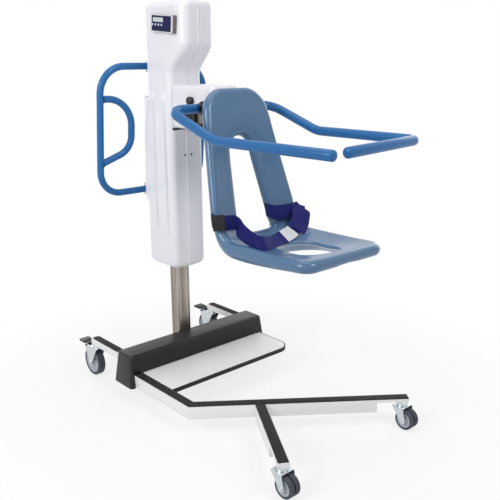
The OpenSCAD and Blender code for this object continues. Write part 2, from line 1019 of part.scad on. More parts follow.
module housing_base() {
    inset = foot_round;
    outline = full_outline(house_half - inset, -house_front + inset, house_rear - inset, house_r, 0);
    at_mast() color(white_paint)
        translate([0, 0, house_bottom - base_t])
            linear_extrude(base_t)
                difference() {
                    polygon([for (p = outline) [p.x, p.y]]);
                    square(2*(mast_half + slide_gap), center = true);
                }
}

// Side outline of the battery cover, drawn in by wall
module battery_outline(wall) {
    polygon([
        [house_rear, battery_top - wall],
        [battery_top_rear - wall, battery_top - wall],
        [battery_rear - wall, battery_corner],
        [house_rear + base_t, battery_end + wall],
        [house_rear, battery_end + wall]
    ]);
}

// Prism along X of a side outline drawn in Y and Z
module prism_x(half) {
    translate([-half, 0, 0])
        rotate([90, 0, 90])
            linear_extrude(2*half)
                children();
}

module battery_cover() {
    at_mast() color(white_paint) difference() {
        prism_x(battery_half)
            battery_outline(0);
        prism_x(battery_half - battery_wall)
            battery_outline(battery_wall);
    }
}

module battery_pack() {
    at_mast() color(black_plastic)
        box(
            [-window_half + free_gap, pack_front, window_low + free_gap],
            [window_half - free_gap, battery_top_rear - battery_wall, window_high - free_gap]
        );
}

module control_board() {
    at_mast() color(board_green)
        box(
            [-window_half, frame_half, frame_low + guide_h],
            [window_half, frame_half + board_t, window_low - guide_h]
        );
}

// Seat bracket and its cover

// Point of the backrest's straight part, d along it from the top and n behind its middle
function back_point(d, n) = back_start + back_dir*d + back_normal*n;

module seat_bracket() {
    near = seat_t/2 + free_gap;
    plate = [
        back_point(mount_high, near),
        back_point(mount_high, near + mount_t),
        back_point(mount_low, near + mount_t),
        back_point(mount_low, near)
    ];
    tip = back_point((back_top - cheek_high)/cos(back_lean), near + mount_t/2);
    knee = back_point(mount_low, near + mount_t/2);
    at_mast() color(zinc_grey) {
        for (s = [-1, 1])
            translate([s < 0 ? -frame_half - cheek_t : frame_half, 0, 0])
                rotate([90, 0, 90])
                    linear_extrude(cheek_t)
                        polygon([
                            [guide_half, cheek_low],
                            [guide_half, cheek_high],
                            [tip.y, tip.z],
                            [knee.y, knee.z],
                            [-pivot_y, cheek_low]
                        ]);
        prism_x(mount_half)
            polygon([for (p = plate) [p.y, p.z]]);
    }
}

// Rounded form of the seat beam's cover, grown inwards by wall
module beam_form(wall) {
    hull()
        for (x = [-beam_half + beam_round, beam_half - beam_round])
            for (z = [beam_low + beam_round, beam_top - beam_round]) {
                translate([x, -beam_reach + beam_round, z])
                    sphere(beam_round - wall, $fn = hull_sides);
                translate([x, -house_front + (wall > 0 ? over : 0), z])
                    rotate([90, 0, 0])
                        cylinder(h = over, r = beam_round - wall, $fn = hull_sides);
            }
}

module beam_cover() {
    at_mast() color(white_paint) difference() {
        beam_form(0);
        beam_form(house_wall);
        rod_x(-beam_half - over, beam_half + over, -pivot_y, pivot_z, pivot_block_r + free_gap);
        rod_x(-beam_half - over, 0, -knob_y, knob_z, stud_r + free_gap);
        // Opening for the bracket's plate at the front
        box(
            [-mount_half - free_gap, -beam_reach - over, cheek_low - mount_high],
            [mount_half + free_gap, -beam_reach + beam_round, cheek_high + over]
        );
    }
}

module clamp_knob() {
    grip_x = -beam_half - free_gap;
    at_mast() color(black_plastic) {
        rod_x(grip_x - knob_t, grip_x, -knob_y, knob_z, knob_r);
        rod_x(grip_x, -frame_half - cheek_t - free_gap, -knob_y, knob_z, stud_r);
    }
}

module arm_pivots() {
    at_mast() color(black_plastic)
        for (s = [-1, 1])
            difference() {
                rod_x(
                    s < 0 ? -pivot_block_out : frame_half + cheek_t,
                    s < 0 ? -frame_half - cheek_t : pivot_block_out,
                    -pivot_y,
                    pivot_z,
                    pivot_block_r
                );
                rod_x(
                    s < 0 ? -pivot_block_out - over : pivot_seat_x,
                    s < 0 ? -pivot_seat_x : pivot_block_out + over,
                    -pivot_y,
                    pivot_z,
                    spigot_r + run_fit
                );
            }
}

// Seat moulding

// Lean of the seat's middle line from upright at distance s from the backrest's top
function seat_lean(s) = back_lean + bend_turn*max(0, min(1, (s - back_run)/bend_run));

// Place on the seat's middle line at distance s
function seat_place(s) =
    s < back_run
        ? back_start + back_dir*s
        : bend_centre
            + seat_bend*[0, cos(seat_lean(s)), -sin(seat_lean(s))]
            + [0, -max(0, s - back_run - bend_run), 0];

// Direction of the seat's middle line at distance s
function seat_along(s) = [0, -sin(seat_lean(s)), -cos(seat_lean(s))];

// How far a round corner of radius r draws in at distance d from the end
function corner_in(r, d) = d < r ? r - sqrt(r*r - (r - d)*(r - d)) : 0;

// Half width and half thickness of the seat moulding at distance s
function seat_wide(s) =
    back_half + (seat_half - back_half)*min(1, s/waist_run)
    - corner_in(back_corner, s)
    - corner_in(seat_corner, seat_total - s);
function seat_thick(s) =
    let (r = seat_t/2, d = min(s, seat_total - s))
    d < r ? max(sqrt(r*r - (r - d)*(r - d)), r*edge_share) : r;

// Depth of the dish at distance s: none near the backrest's top and at the seat's front edge
function ease(t) = let (k = max(0, min(1, t))) k*k*(3 - 2*k);
// How far the underside swells out round the bend
function swell_depth(s) =
    seat_swell*ease((s - back_run)/swell_run)*ease((seat_total - s)/swell_end_run);
function dish_depth(s) = seat_dish*ease((s - dish_from)/dish_run)*ease((seat_total - s)/dish_run);

// Rounded section of the seat moulding at distance s
function seat_section(s) =
    let (
        place = seat_place(s),
        along = seat_along(s),
        up = [0, along.z, -along.y],
        wide = seat_wide(s),
        flat = wide - seat_t/2,
        thick = seat_thick(s),
        dish = dish_depth(s),
        swell = swell_depth(s),
        rim = [
            for (i = [0:across_steps]) [flat*(2*i/across_steps - 1), -1],
            for (i = [1:arc_steps - 1]) [flat + seat_t/2*sin(180*i/arc_steps), -cos(180*i/arc_steps)],
            for (i = [0:across_steps]) [flat*(1 - 2*i/across_steps), 1],
            for (i = [1:arc_steps - 1]) [-flat - seat_t/2*sin(180*i/arc_steps), cos(180*i/arc_steps)]
        ]
    )
    [
        for (q = rim)
            let (sag = dish*(1 - q[0]*q[0]/(wide*wide)) + swell*(1 - q[1])/2)
            place + [q[0], 0, 0] + up*(thick*q[1] - sag)
    ];

// Distances of the seat's sections from the backrest's top
end_shares = [0.02, 0.15, 0.4, 0.8, 1.4];
end_run_share = 1.1;
end_run = end_run_share*seat_t;
back_steps = 10;
turn_steps = 8;
front_steps = 5;
seat_stops = concat(
    [for (k = end_shares) k*seat_t/2],
    [for (i = [0:back_steps]) end_run + (back_run - end_run)*i/back_steps],
    [for (i = [1:turn_steps]) back_run + bend_run*i/turn_steps],
    [for (i = [1:front_steps]) back_run + bend_run + (seat_run - end_run)*i/front_steps],
    [for (i = [len(end_shares) - 1:-1:0]) seat_total - end_shares[i]*seat_t/2]
);

module seat_shell() {
    slot_from = (back_top - slot_top)/cos(back_lean);
    slot_to = back_run + bend_cut*slot_share;
    at_mast() color(seat_blue) difference() {
        loft([for (s = seat_stops) seat_section(s)], strips = true);
        // Slot through the backrest
        translate([0, -back_y, back_top])
            rotate([90 - back_lean, 0, 0])
                translate([0, 0, -slot_cut/2])
                    linear_extrude(slot_cut) {
                        translate([0, -slot_from - slot_top_half])
                            circle(slot_top_half);
                        polygon([
                            [-slot_top_half, -slot_from - slot_top_half],
                            [-slot_low_half, -slot_to],
                            [slot_low_half, -slot_to],
                            [slot_top_half, -slot_from - slot_top_half]
                        ]);
                    }
        // Opening in the seat
        translate([0, -hole_y, seat_z - slot_cut/2])
            linear_extrude(slot_cut) {
                for (s = [-1, 1])
                    translate([0, s*(hole_len/2 - hole_half)])
                        circle(hole_half);
                square([2*hole_half, hole_len - 2*hole_half], center = true);
            }
    }
}

// Lap belt

// Middle line of the belt: shares of the seat's half width, of its reach in front of the
// backrest and of its rise above its lowest part
belt_rise = 55;
belt_reach = 170;
belt_over = 36;
belt_low = seat_z + belt_over;
belt_off = 15;
belt_start_y = seat_corner_y - belt_off;
belt_end = (seat_half + belt_t/2 + free_gap)/seat_half;
belt_shares = [
    [-belt_end, -0.20, 0.82], [-1.00, -0.06, 0.82], [-0.88, 0.00, 0.82], [-0.72, 0.12, 0.64],
    [-0.70, 0.40, 0.18], [-0.76, 0.75, 0.00], [-0.66, 0.98, 0.00], [-0.26, 0.96, 0.00],
    [0.13, 0.82, 0.04], [0.60, 0.52, 0.26], [0.92, 0.20, 0.62], [1.00, -0.02, 0.82], [belt_end, -0.20, 0.82]
];
function belt_point(k) = [seat_half*k[0], belt_start_y - belt_reach*k[1], belt_low + belt_rise*k[2]];

module lap_belt() {
    points = [for (k = belt_shares) belt_point(k)];
    last = len(points) - 1;
    loops = [
        for (i = [0:last])
            let (
                d = unit(points[min(i + 1, last)] - points[max(i - 1, 0)]),
                across = unit(cross(d, [0, 0, 1])),
                up = cross(across, d)
            )
            [
                points[i] - across*belt_t/2 - up*belt_w/2,
                points[i] - across*belt_t/2 + up*belt_w/2,
                points[i] + across*belt_t/2 + up*belt_w/2,
                points[i] + across*belt_t/2 - up*belt_w/2
            ]
    ];
    at_mast() color(belt_navy)
        loft(loops);
}

module belt_buckle() {
    gap = belt_t/2 + free_gap;
    tall = belt_w/2 + buckle_over;
    at_mast() color(black_plastic)
        translate(belt_point(belt_shares[1]))
            rotate(buckle_turn)
                box([-gap - buckle_t, -buckle_w/2, -tall], [-gap, buckle_w/2, tall]);
}

// Handles

// One push handle on the left: outer loop and round inner grip
module handle() {
    translate([0, handle_y, handle_top])
        rotate([handle_lean, 0, 0]) {
            tube_path(
                [[0, 0, 0], [-handle_x, 0, 0], [-handle_x, 0, -handle_drop], [0, 0, -handle_drop]],
                [handle_bend_top, handle_bend_low],
                handle_r,
                pipe_wall
            );
            difference() {
                sweep(
                    round_path(
                        [
                            [-handle_x, 0, -grip_top],
                            [grip_reach - handle_x, 0, -grip_top],
                            [grip_reach - handle_x, 0, grip_rise - grip_low],
                            [-handle_x, 0, -grip_low]
                        ],
                        [grip_bend_top, grip_bend_low]
                    ),
                    [0, 0, 1],
                    handle_r
                );
                translate([-handle_x, 0, handle_bend_low - handle_drop])
                    cylinder(h = handle_drop - handle_bend_low - handle_bend_top, r = handle_r - pipe_wall/2);
            }
        }
}

module handle_left() {
    at_mast() color(blue_coat)
        handle();
}

module handle_right() {
    at_mast() color(blue_coat)
        mirror([1, 0, 0])
            handle();
}

// Block from the wall at y0 round the handles' tubes at y and z
module clamp_block(y0, y, z) {
    difference() {
        box([-clamp_half_w, y0, z - clamp_half_h], [clamp_half_w, y + clamp_back, z + clamp_half_h]);
        rod_x(-clamp_half_w - over, clamp_half_w + over, y, z, handle_r + run_fit);
    }
}

module handle_clamp() {
    at_mast() color(white_paint) {
        clamp_block(head_rear, handle_y, handle_top);
        clamp_block(battery_rear + free_gap, handle_low_y, handle_low_z);
    }
}

// Display

// Place of the display's middle on the housing, turned a little down to the front
module at_display() {
    at_mast()
        translate([0, -display_y, display_z])
            rotate([display_turn, 0, 0])
                children();
}

module display_case() {
    at_display() color(case_navy) difference() {
        box([case_face, -display_w/2, -display_h/2], [-house_half, display_w/2, display_h/2]);
        box(
            [case_face - over, window_y - window_w/2, window_z - window_h/2],
            [case_face + window_t, window_y + window_w/2, window_z + window_h/2]
        );
        for (y = button_ys)
            rod_x(case_face - over, case_face + button_t + button_travel, y, button_z, button_r + free_gap);
    }
}

module display_window() {
    at_display() color(pane_grey)
        box(
            [case_face, window_y - window_w/2, window_z - window_h/2],
            [case_face + window_t, window_y + window_w/2, window_z + window_h/2]
        );
}

module button(i) {
    at_display() color(cap_grey)
        rod_x(case_face - button_proud, case_face + button_t - free_gap, button_ys[i], button_z, button_r);
}

module button_1() {
    button(0);
}

module button_2() {
    button(1);
}

module button_3() {
    button(2);
}

module button_4() {
    button(3);
}

module housing_screws() {
    at_mast() color(black_plastic)
        for (x = [-screw_x, screw_x])
            for (z = screw_zs)
                translate([x, -house_front, z])
                    rotate([90, 0, 0])
                        cylinder(h = screw_head_t, r = screw_head_r);
}

// Safety arms

// Corner points of an arm on the left, from outside its pivot block to where it becomes level
arm_start = [
    [-pivot_block_out - slide_gap, -pivot_y, pivot_z],
    [-arm_x, -pivot_y, pivot_z],
    [-arm_x, -arm_bend_y, arm_z]
];

// Places and directions along a line through corner points, rounded at each inner corner
function round_path(points, bends) =
    let (
        last = len(points) - 1,
        dirs = [for (i = [0:last - 1]) unit(points[i + 1] - points[i])]
    )
    [
        [points[0], dirs[0]],
        for (i = [1:last - 1])
            let (
                d1 = dirs[i - 1],
                d2 = dirs[i],
                r = bends[i - 1],
                turn = acos(d1*d2),
                c = points[i] + unit(d2 - d1)*r/cos(turn/2),
                u = unit(points[i] - d1*r*tan(turn/2) - c)
            )
            for (k = [0:bend_steps])
                let (a = turn*k/bend_steps)
                [c + u*r*cos(a) + d1*r*sin(a), d1*cos(a) - u*sin(a)],
        [points[last], dirs[last - 1]]
    ];

// Domed end beyond the last place of a path, as places, directions and shares of the radius
function dome(p, d, r) = [for (a = dome_angles) [p + d*r*sin(a)*dome_share, d, cos(a)]];

// Round bar along a path; each place may carry a share of the radius
module sweep(path, first_up, r) {
    loft([
        for (
            i = 0, up = first_up;
            i < len(path);
            i = i + 1, up = i < len(path) ? unit(up - path[i][1]*(up*path[i][1])) : up
        )
            let (d = path[i][1], v = cross(d, up), k = len(path[i]) > 2 ? path[i][2] : 1)
            [for (j = [0:bar_sides - 1]) path[i][0] + r*k*(up*cos(360*j/bar_sides) + v*sin(360*j/bar_sides))]
    ]);
}

// Bar of an arm with the steel spigot that turns in the pivot block
module arm_bar(points, bends, s) {
    path = round_path(points, bends);
    end = path[len(path) - 1];
    sweep(concat(path, dome(end[0], end[1], arm_r)), [0, 0, 1], arm_r);
    rod_x(
        s < 0 ? -pivot_block_out - spigot_grip : pivot_seat_x + free_gap,
        s < 0 ? -pivot_seat_x - free_gap : pivot_block_out + spigot_grip,
        -pivot_y,
        pivot_z,
        spigot_r
    );
}

module arm_left() {
    tip = [-arm_x, -arm_end, arm_z];
    at_mast() color(blue_coat)
        arm_bar(concat(arm_start, [tip]), [arm_bend, arm_ease], -1);
}

module arm_right() {
    corner = [arm_x, -arm_corner_y, arm_z];
    reach = (arm_x + bar_end_x)/cos(bar_skew);
    tip = corner + reach*[-cos(bar_skew), -sin(bar_skew), 0];
    start = [for (p = arm_start) [-p.x, p.y, p.z]];
    at_mast() color(blue_coat)
        arm_bar(concat(start, [corner, tip]), [arm_bend, arm_ease, bar_bend], 1);
}

// Castors

// Fixed head of a castor under z_top: bearing ring, kingpin and its head
module castor_head(z_top, plate_z, pin_top) {
    ring_low = plate_z + fork_plate_t + ring_gap;
    translate([0, 0, ring_low])
        cylinder(h = z_top - ring_low, r = ring_r);
    translate([0, 0, plate_z - ring_gap - pin_head_t])
        cylinder(h = pin_top - plate_z + ring_gap + pin_head_t, d = kingpin_d);
    translate([0, 0, plate_z - ring_gap - pin_head_t])
        cylinder(h = pin_head_t, r = pin_head_r);
}

module castor_heads() {
    at_mast() color(zinc_grey) {
        for (p = [left_castor, right_castor])
            translate([p.x, p.y, 0])
                castor_head(leg_top - tip_t, front_plate_z, leg_top);
        for (x = [-rear_left_x, rear_right_x])
            translate([x, castor_back, 0])
                castor_head(beam_high, rear_plate_z, beam_high + rear_h);
    }
}

// Fork with its axle; the wheel trails towards +Y by trail and rear lugs carry a pedal where lug is set
module castor_fork(plate_z, inner, wheel_r, trail, lug) {
    outer = inner/2 + fork_t;
    half = ring_r + fork_t;
    back = lug ? pedal_y + lug_r : half;
    difference() {
        union() {
            box([-outer, -half, plate_z], [outer, half, plate_z + fork_plate_t]);
            for (s = [-1, 1])
                translate([s < 0 ? -outer : inner/2, 0, 0])
                    rotate([90, 0, 90])
                        linear_extrude(fork_t) {
                            polygon([
                                [-half, plate_z + fork_plate_t],
                                [trail - lug_r, wheel_r],
                                [trail + lug_r, wheel_r],
                                [back, plate_z - (lug ? lug_r : 0)],
                                [back, plate_z + fork_plate_t]
                            ]);
                            translate([trail, wheel_r])
                                circle(lug_r);
                        }
            rod_x(-outer - bolt_t, outer + bolt_t, trail, wheel_r, axle_d/2);
            rod_x(-outer - bolt_t, -outer, trail, wheel_r, bolt_r);
            rod_x(outer, outer + bolt_t, trail, wheel_r, bolt_r);
        }
        translate([0, 0, plate_z - over])
            cylinder(h = fork_plate_t + 2*over, d = kingpin_d + 2*run_fit);
        if (lug)
            rod_x(-outer - over, outer + over, pedal_y, pedal_z, pedal_pin_r + run_fit);
    }
}

// Wheel centre of a castor with its hub: rim, web and sleeve on the axle
module castor_hub(inner, wheel_r, rim_r, rims, rim_w, trail) {
    half = inner/2 - hub_play;
    difference() {
        union() {
            rod_x(-half, half, trail, wheel_r, hub_r);
            for (x = rims)
                rod_x(x - hub_web_t/2, x + hub_web_t/2, trail, wheel_r, rim_r);
            for (x = rims)
                difference() {
                    rod_x(x - rim_w/2, x + rim_w/2, trail, wheel_r, rim_r);
                    rod_x(x - rim_w/2 - over, x + rim_w/2 + over, trail, wheel_r, rim_r - tube_wall);
                }
        }
        rod_x(-half - over, half + over, trail, wheel_r, axle_d/2 + run_fit);
    }
}

// Tyres of a castor, rounded at their edges
module castor_tyres(wheel_r, rim_r, rims, tyre_w, trail) {
    edge = tyre_w*tyre_edge_share;
    for (x = rims)
        translate([x, trail, wheel_r])
            rotate([0, 90, 0])
                rotate_extrude() {
                    translate([rim_r, -tyre_w/2])
                        square([wheel_r - rim_r - edge, tyre_w]);
                    translate([rim_r, -tyre_w/2 + edge])
                        square([wheel_r - rim_r, tyre_w - 2*edge]);
                    for (s = [-1, 1])
                        translate([wheel_r - edge, s*(tyre_w/2 - edge)])
                            circle(edge);
                }
}

front_rims = [-(front_tyre_w + twin_gap)/2, (front_tyre_w + twin_gap)/2];

// Place of a front castor, which trails to the front
module at_front(castor) {
    at_mast()
        translate([castor.x, castor.y, 0])
            rotate(180)
                children();
}

// Place of a rear castor
module at_rear(x) {
    at_mast()
        translate([x, castor_back, 0])
            children();
}

module front_fork(castor) {
    at_front(castor) color(zinc_grey)
        castor_fork(front_plate_z, front_inner, front_r, front_trail, false);
}

module front_hub(castor) {
    at_front(castor) color(white_paint)
        castor_hub(front_inner, front_r, front_rim_r, front_rims, front_tyre_w, front_trail);
}

module front_tyres(castor) {
    at_front(castor) color(black_plastic)
        castor_tyres(front_r, front_rim_r, front_rims, front_tyre_w, front_trail);
}

module rear_fork(x) {
    at_rear(x) color(zinc_grey)
        castor_fork(rear_plate_z, rear_inner, rear_r, rear_trail, true);
}

module rear_hub(x) {
    at_rear(x) color(white_paint)
        castor_hub(rear_inner, rear_r, rear_rim_r, [0], rear_tyre_w, rear_trail);
}

module rear_tyre(x) {
    at_rear(x) color(black_plastic)
        castor_tyres(rear_r, rear_rim_r, [0], rear_tyre_w, rear_trail);
}

// Brake pedal: hub on a pin through the fork's lugs, arm and pad
module rear_pedal(x) {
    half = rear_inner/2 - hub_play;
    outer = rear_inner/2 + fork_t + bolt_t;
    at_rear(x) color(black_plastic) {
        rod_x(-half, half, pedal_y, pedal_z, pedal_arm_r);
        rod_x(-outer, outer, pedal_y, pedal_z, pedal_pin_r);
        box(
            [-half, pedal_y, pedal_z],
            [half, pedal_y + pedal_reach - pedal_pad_len, pedal_z + pedal_arm_r]
        );
        box(
            [-pedal_pad_w/2, pedal_y + pedal_reach - pedal_pad_len, pedal_z],
            [pedal_pad_w/2, pedal_y + pedal_reach, pedal_z + pedal_pad_t]
        );
    }
}

module front_left_fork() {
    front_fork(left_castor);
}

module front_left_hub() {
    front_hub(left_castor);
}

module front_left_tyres() {
    front_tyres(left_castor);
}

module front_right_fork() {
    front_fork(right_castor);
}

module front_right_hub() {
    front_hub(right_castor);
}

module front_right_tyres() {
    front_tyres(right_castor);
}

module rear_left_fork() {
    rear_fork(-rear_left_x);
}

module rear_left_hub() {
    rear_hub(-rear_left_x);
}

module rear_left_tyre() {
    rear_tyre(-rear_left_x);
}

module rear_left_pedal() {
    rear_pedal(-rear_left_x);
}

module rear_right_fork() {
    rear_fork(rear_right_x);
}

module rear_right_hub() {
    rear_hub(rear_right_x);
}

module rear_right_tyre() {
    rear_tyre(rear_right_x);
}

module rear_right_pedal() {
    rear_pedal(rear_right_x);
}

crossbeam();
main_leg();
diagonal_leg();
branch_leg();
rear_legs();
leg_strips();
crossbeam_cover();
foot_platform();
platform_edge();
platform_brackets();
mast();
mast_gussets();
lead_nut();
castor_heads();
housing_left();
housing_right();
head_lid();
housing_base();
battery_cover();
battery_pack();
control_board();
carriage_frame();
guide_blocks();
gearbox();
motor();
lead_screw();
seat_bracket();
beam_cover();
clamp_knob();
arm_pivots();
seat_shell();
lap_belt();
belt_buckle();
handle_left();
handle_right();
handle_clamp();
display_case();
display_window();
button_1();
button_2();
button_3();
button_4();
housing_screws();
arm_left();
arm_right();
front_left_fork();
front_left_hub();
front_left_tyres();
front_right_fork();
front_right_hub();
front_right_tyres();
rear_left_fork();
rear_left_hub();
rear_left_tyre();
rear_left_pedal();
rear_right_fork();
rear_right_hub();
rear_right_tyre();
rear_right_pedal();
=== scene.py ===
import json
from math import acos, cos, exp, pi, radians, sin, sqrt, tan

import bmesh
import bpy
from mathutils import Matrix, Vector
from mathutils.geometry import delaunay_2d_cdt
from mathutils.kdtree import KDTree

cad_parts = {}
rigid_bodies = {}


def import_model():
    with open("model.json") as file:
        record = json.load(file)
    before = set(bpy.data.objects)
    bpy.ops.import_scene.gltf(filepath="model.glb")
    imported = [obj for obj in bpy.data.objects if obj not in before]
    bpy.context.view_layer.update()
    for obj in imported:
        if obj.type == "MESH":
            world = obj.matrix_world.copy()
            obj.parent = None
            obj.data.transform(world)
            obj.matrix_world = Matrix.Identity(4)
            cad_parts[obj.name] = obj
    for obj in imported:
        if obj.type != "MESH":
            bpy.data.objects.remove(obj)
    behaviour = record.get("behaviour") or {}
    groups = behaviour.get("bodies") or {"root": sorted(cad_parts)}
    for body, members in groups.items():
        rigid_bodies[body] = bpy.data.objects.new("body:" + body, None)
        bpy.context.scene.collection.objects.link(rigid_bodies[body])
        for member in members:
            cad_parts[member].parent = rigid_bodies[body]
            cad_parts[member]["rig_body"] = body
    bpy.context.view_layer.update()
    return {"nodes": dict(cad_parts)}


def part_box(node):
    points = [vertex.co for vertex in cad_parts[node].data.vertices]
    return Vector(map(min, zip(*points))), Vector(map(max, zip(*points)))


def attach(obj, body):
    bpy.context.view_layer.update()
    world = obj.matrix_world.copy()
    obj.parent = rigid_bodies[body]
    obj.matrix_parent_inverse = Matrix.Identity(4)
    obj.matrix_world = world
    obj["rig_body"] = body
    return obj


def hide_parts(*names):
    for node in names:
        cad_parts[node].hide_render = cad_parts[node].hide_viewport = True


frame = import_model()

# Camera: stands in front of the lift at its left, at about the height of the head, and looks
# slightly down. Its place and lens were fitted to the lines of the base.
camera_at, camera_turn, camera_down, camera_roll = (-1.690, -1.940, 1.328), -41.89, 15.27, -0.3
lens = bpy.data.cameras.new("photo_camera")
lens.sensor_width = 36
lens.lens = 49.8
camera = bpy.data.objects.new("photo_camera", lens)
camera.matrix_world = (
    Matrix.Translation(camera_at)
    @ Matrix.Rotation(radians(camera_turn), 4, "Z")
    @ Matrix.Rotation(radians(90 - camera_down), 4, "X")
    @ Matrix.Rotation(radians(camera_roll), 4, "Z")
)
scene = bpy.context.scene
scene.collection.objects.link(camera)
scene.camera = camera
scene.view_settings.view_transform = "Standard"


# Studio floor: a white paper sweep that keeps the soft shadow under the lift and runs out into
# the white background.
class Wire:
    """A socket of a material's nodes; sums and products of wires and numbers add Math nodes."""

    def __init__(self, tree, socket=None):
        self.tree, self.socket = tree, socket

    def feed(self, made, sockets):
        """Links or sets sockets of a node."""
        for name, value in sockets.items():
            if isinstance(value, Wire):
                self.tree.links.new(value.socket, made.inputs[name])
            else:
                made.inputs[name].default_value = value

    def node(self, kind, settings=None, sockets=None, out=0):
        """Makes a node, its settings first, and gives one of its outputs."""
        made = self.tree.nodes.new(kind)
        for name, value in (settings or {}).items():
            setattr(made, name, value)
        self.feed(made, sockets or {})
        return Wire(self.tree, made.outputs[out] if len(made.outputs) else None)

    def __add__(self, other):
        return self.node("ShaderNodeMath", {"operation": "ADD"}, {0: self, 1: other})

    __radd__ = __add__

    def __mul__(self, other):
        return self.node("ShaderNodeMath", {"operation": "MULTIPLY"}, {0: self, 1: other})

    __rmul__ = __mul__


def surface(name):
    """A new material and a wire that makes its nodes."""
    material = bpy.data.materials.new(name)
    material.use_nodes = True
    return material, Wire(material.node_tree)


def tint(red, green, blue):
    """A colour as seen on the screen, from 0 to 255, as the shader takes it."""
    parts = [c/255 for c in (red, green, blue)]
    return (*[c/12.92 if c <= 0.04045 else ((c + 0.055)/1.055)**2.4 for c in parts], 1)


def mesh_of(name, verts, faces):
    mesh = bpy.data.meshes.new(name)
    mesh.from_pydata(verts, [], faces)
    return mesh


def open_rays(wire):
    """1 for rays that show the white background: from the camera, mirrored or through glass."""
    path = wire.node("ShaderNodeLightPath").socket.node
    seen, mirrored, through = (
        Wire(wire.tree, path.outputs[f"Is {way} Ray"]) for way in ("Camera", "Glossy", "Transmission")
    )
    either = wire.node("ShaderNodeMath", {"operation": "MAXIMUM"}, {0: seen, 1: mirrored})
    return wire.node("ShaderNodeMath", {"operation": "MAXIMUM"}, {0: either, 1: through})


floor_half, floor_drop, paper_grey = 14, 0.0005, 0.93
shadow_near, shadow_far, near_white = 0.6, 1.5, 0.74
white_light = (1, 1, 1, 1)
floor_corners = [(x*floor_half, y*floor_half, 0) for x, y in ((-1, -1), (1, -1), (1, 1), (-1, 1))]
floor_mesh = mesh_of("floor", floor_corners, [(0, 1, 2, 3)])
floor = bpy.data.objects.new("floor", floor_mesh)
scene.collection.objects.link(floor)
floor.location.z = -floor_drop
paper, wire = surface("white_paper")
paper.node_tree.nodes.clear()
spot = wire.node("ShaderNodeTexCoord", out="Object")
away = wire.node("ShaderNodeVectorMath", {"operation": "LENGTH"}, {0: spot}, "Value")
edge = wire.node(
    "ShaderNodeMapRange", {"interpolation_type": "SMOOTHSTEP"},
    {0: away, 1: shadow_near, 2: shadow_far, 3: near_white, 4: 1.0},
)
sheet = wire.node("ShaderNodeBsdfDiffuse", {}, {"Color": (paper_grey, paper_grey, paper_grey, 1)})
white = wire.node("ShaderNodeEmission", {}, {"Color": white_light, "Strength": 1})
both = wire.node("ShaderNodeMixShader", {}, {0: edge*open_rays(wire), 1: sheet, 2: white})
wire.node("ShaderNodeOutputMaterial", {}, {"Surface": both})
floor_mesh.materials.append(paper)

# Studio light: one strong soft box from the left, weaker ones from the front, the right and
# behind, one overhead and a pale room.
ambient, lamp_aim = 0.26, Vector((0, 0, 0.75))
room = bpy.data.worlds.new("room")
room.use_nodes = True
scene.world = room
room.node_tree.nodes.clear()
wire = Wire(room.node_tree)
strength = ambient + (1 - ambient)*open_rays(wire)
light = wire.node("ShaderNodeBackground", {}, {"Color": white_light, "Strength": strength})
wire.node("ShaderNodeOutputWorld", {}, {"Surface": light})
for name, lamp_at, size, power in (
    ("key_box", (-3.0, 0.0, 2.2), 1.6, 56),
    ("front_box", (0.1, -2.4, 2.7), 1.0, 29),
    ("top_box", (0.0, 0.2, 3.6), 2.0, 20),
    ("right_box", (3.2, 0.4, 1.7), 2.4, 25),
    ("rear_box", (0.3, 3.6, 1.6), 1.6, 16),
):
    lamp = bpy.data.lights.new(name, "AREA")
    lamp.size = size
    lamp.energy = power
    soft_box = bpy.data.objects.new(name, lamp)
    soft_box.location = lamp_at
    soft_box.rotation_euler = (lamp_aim - Vector(lamp_at)).to_track_quat("-Z", "Y").to_euler()
    scene.collection.objects.link(soft_box)


def finish(name, colour, roughness, spread=0.03, patch=9, grain=900, depth=0.00006, **constants):
    """A painted or moulded surface: faintly uneven colour and gloss over a fine grain."""
    uneven = 0.2
    material, wire = surface(name)
    spot = wire.node("ShaderNodeTexCoord", out="Object")
    cloud = wire.node("ShaderNodeTexNoise", {}, {"Vector": spot, "Scale": patch, "Detail": 4.0})
    fine = wire.node("ShaderNodeTexNoise", {}, {"Vector": spot, "Scale": grain, "Detail": 2.0})
    low = tuple(c*(1 - spread) for c in colour[:3]) + (1,)
    high = tuple(min(1, c*(1 + spread)) for c in colour[:3]) + (1,)
    wire.feed(material.node_tree.nodes["Principled BSDF"], {
        "Base Color": wire.node("ShaderNodeMix", {"data_type": "RGBA"}, {0: cloud, 6: low, 7: high}, 2),
        "Roughness": roughness*(1 - uneven) + cloud*(roughness*2*uneven),
        "Normal": wire.node("ShaderNodeBump", {}, {"Height": fine, "Strength": 0.5, "Distance": depth}),
        **{socket.replace("_", " "): value for socket, value in constants.items()},
    })
    return material


def place(name, mesh, material, *nodes, sharp=35, body=None):
    """Makes a piece of the mesh that stands for CAD nodes and rides on their body or the given one; only
    without a given body are the nodes hidden.
    """
    mesh.polygons.foreach_set("use_smooth", [True]*len(mesh.polygons))
    mesh.set_sharp_from_angle(angle=radians(sharp))
    mesh.materials.append(material)
    obj = bpy.data.objects.new(name, mesh)
    scene.collection.objects.link(obj)
    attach(obj, body or frame["nodes"][nodes[0]]["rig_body"])
    if not body:
        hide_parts(*nodes)
    return obj


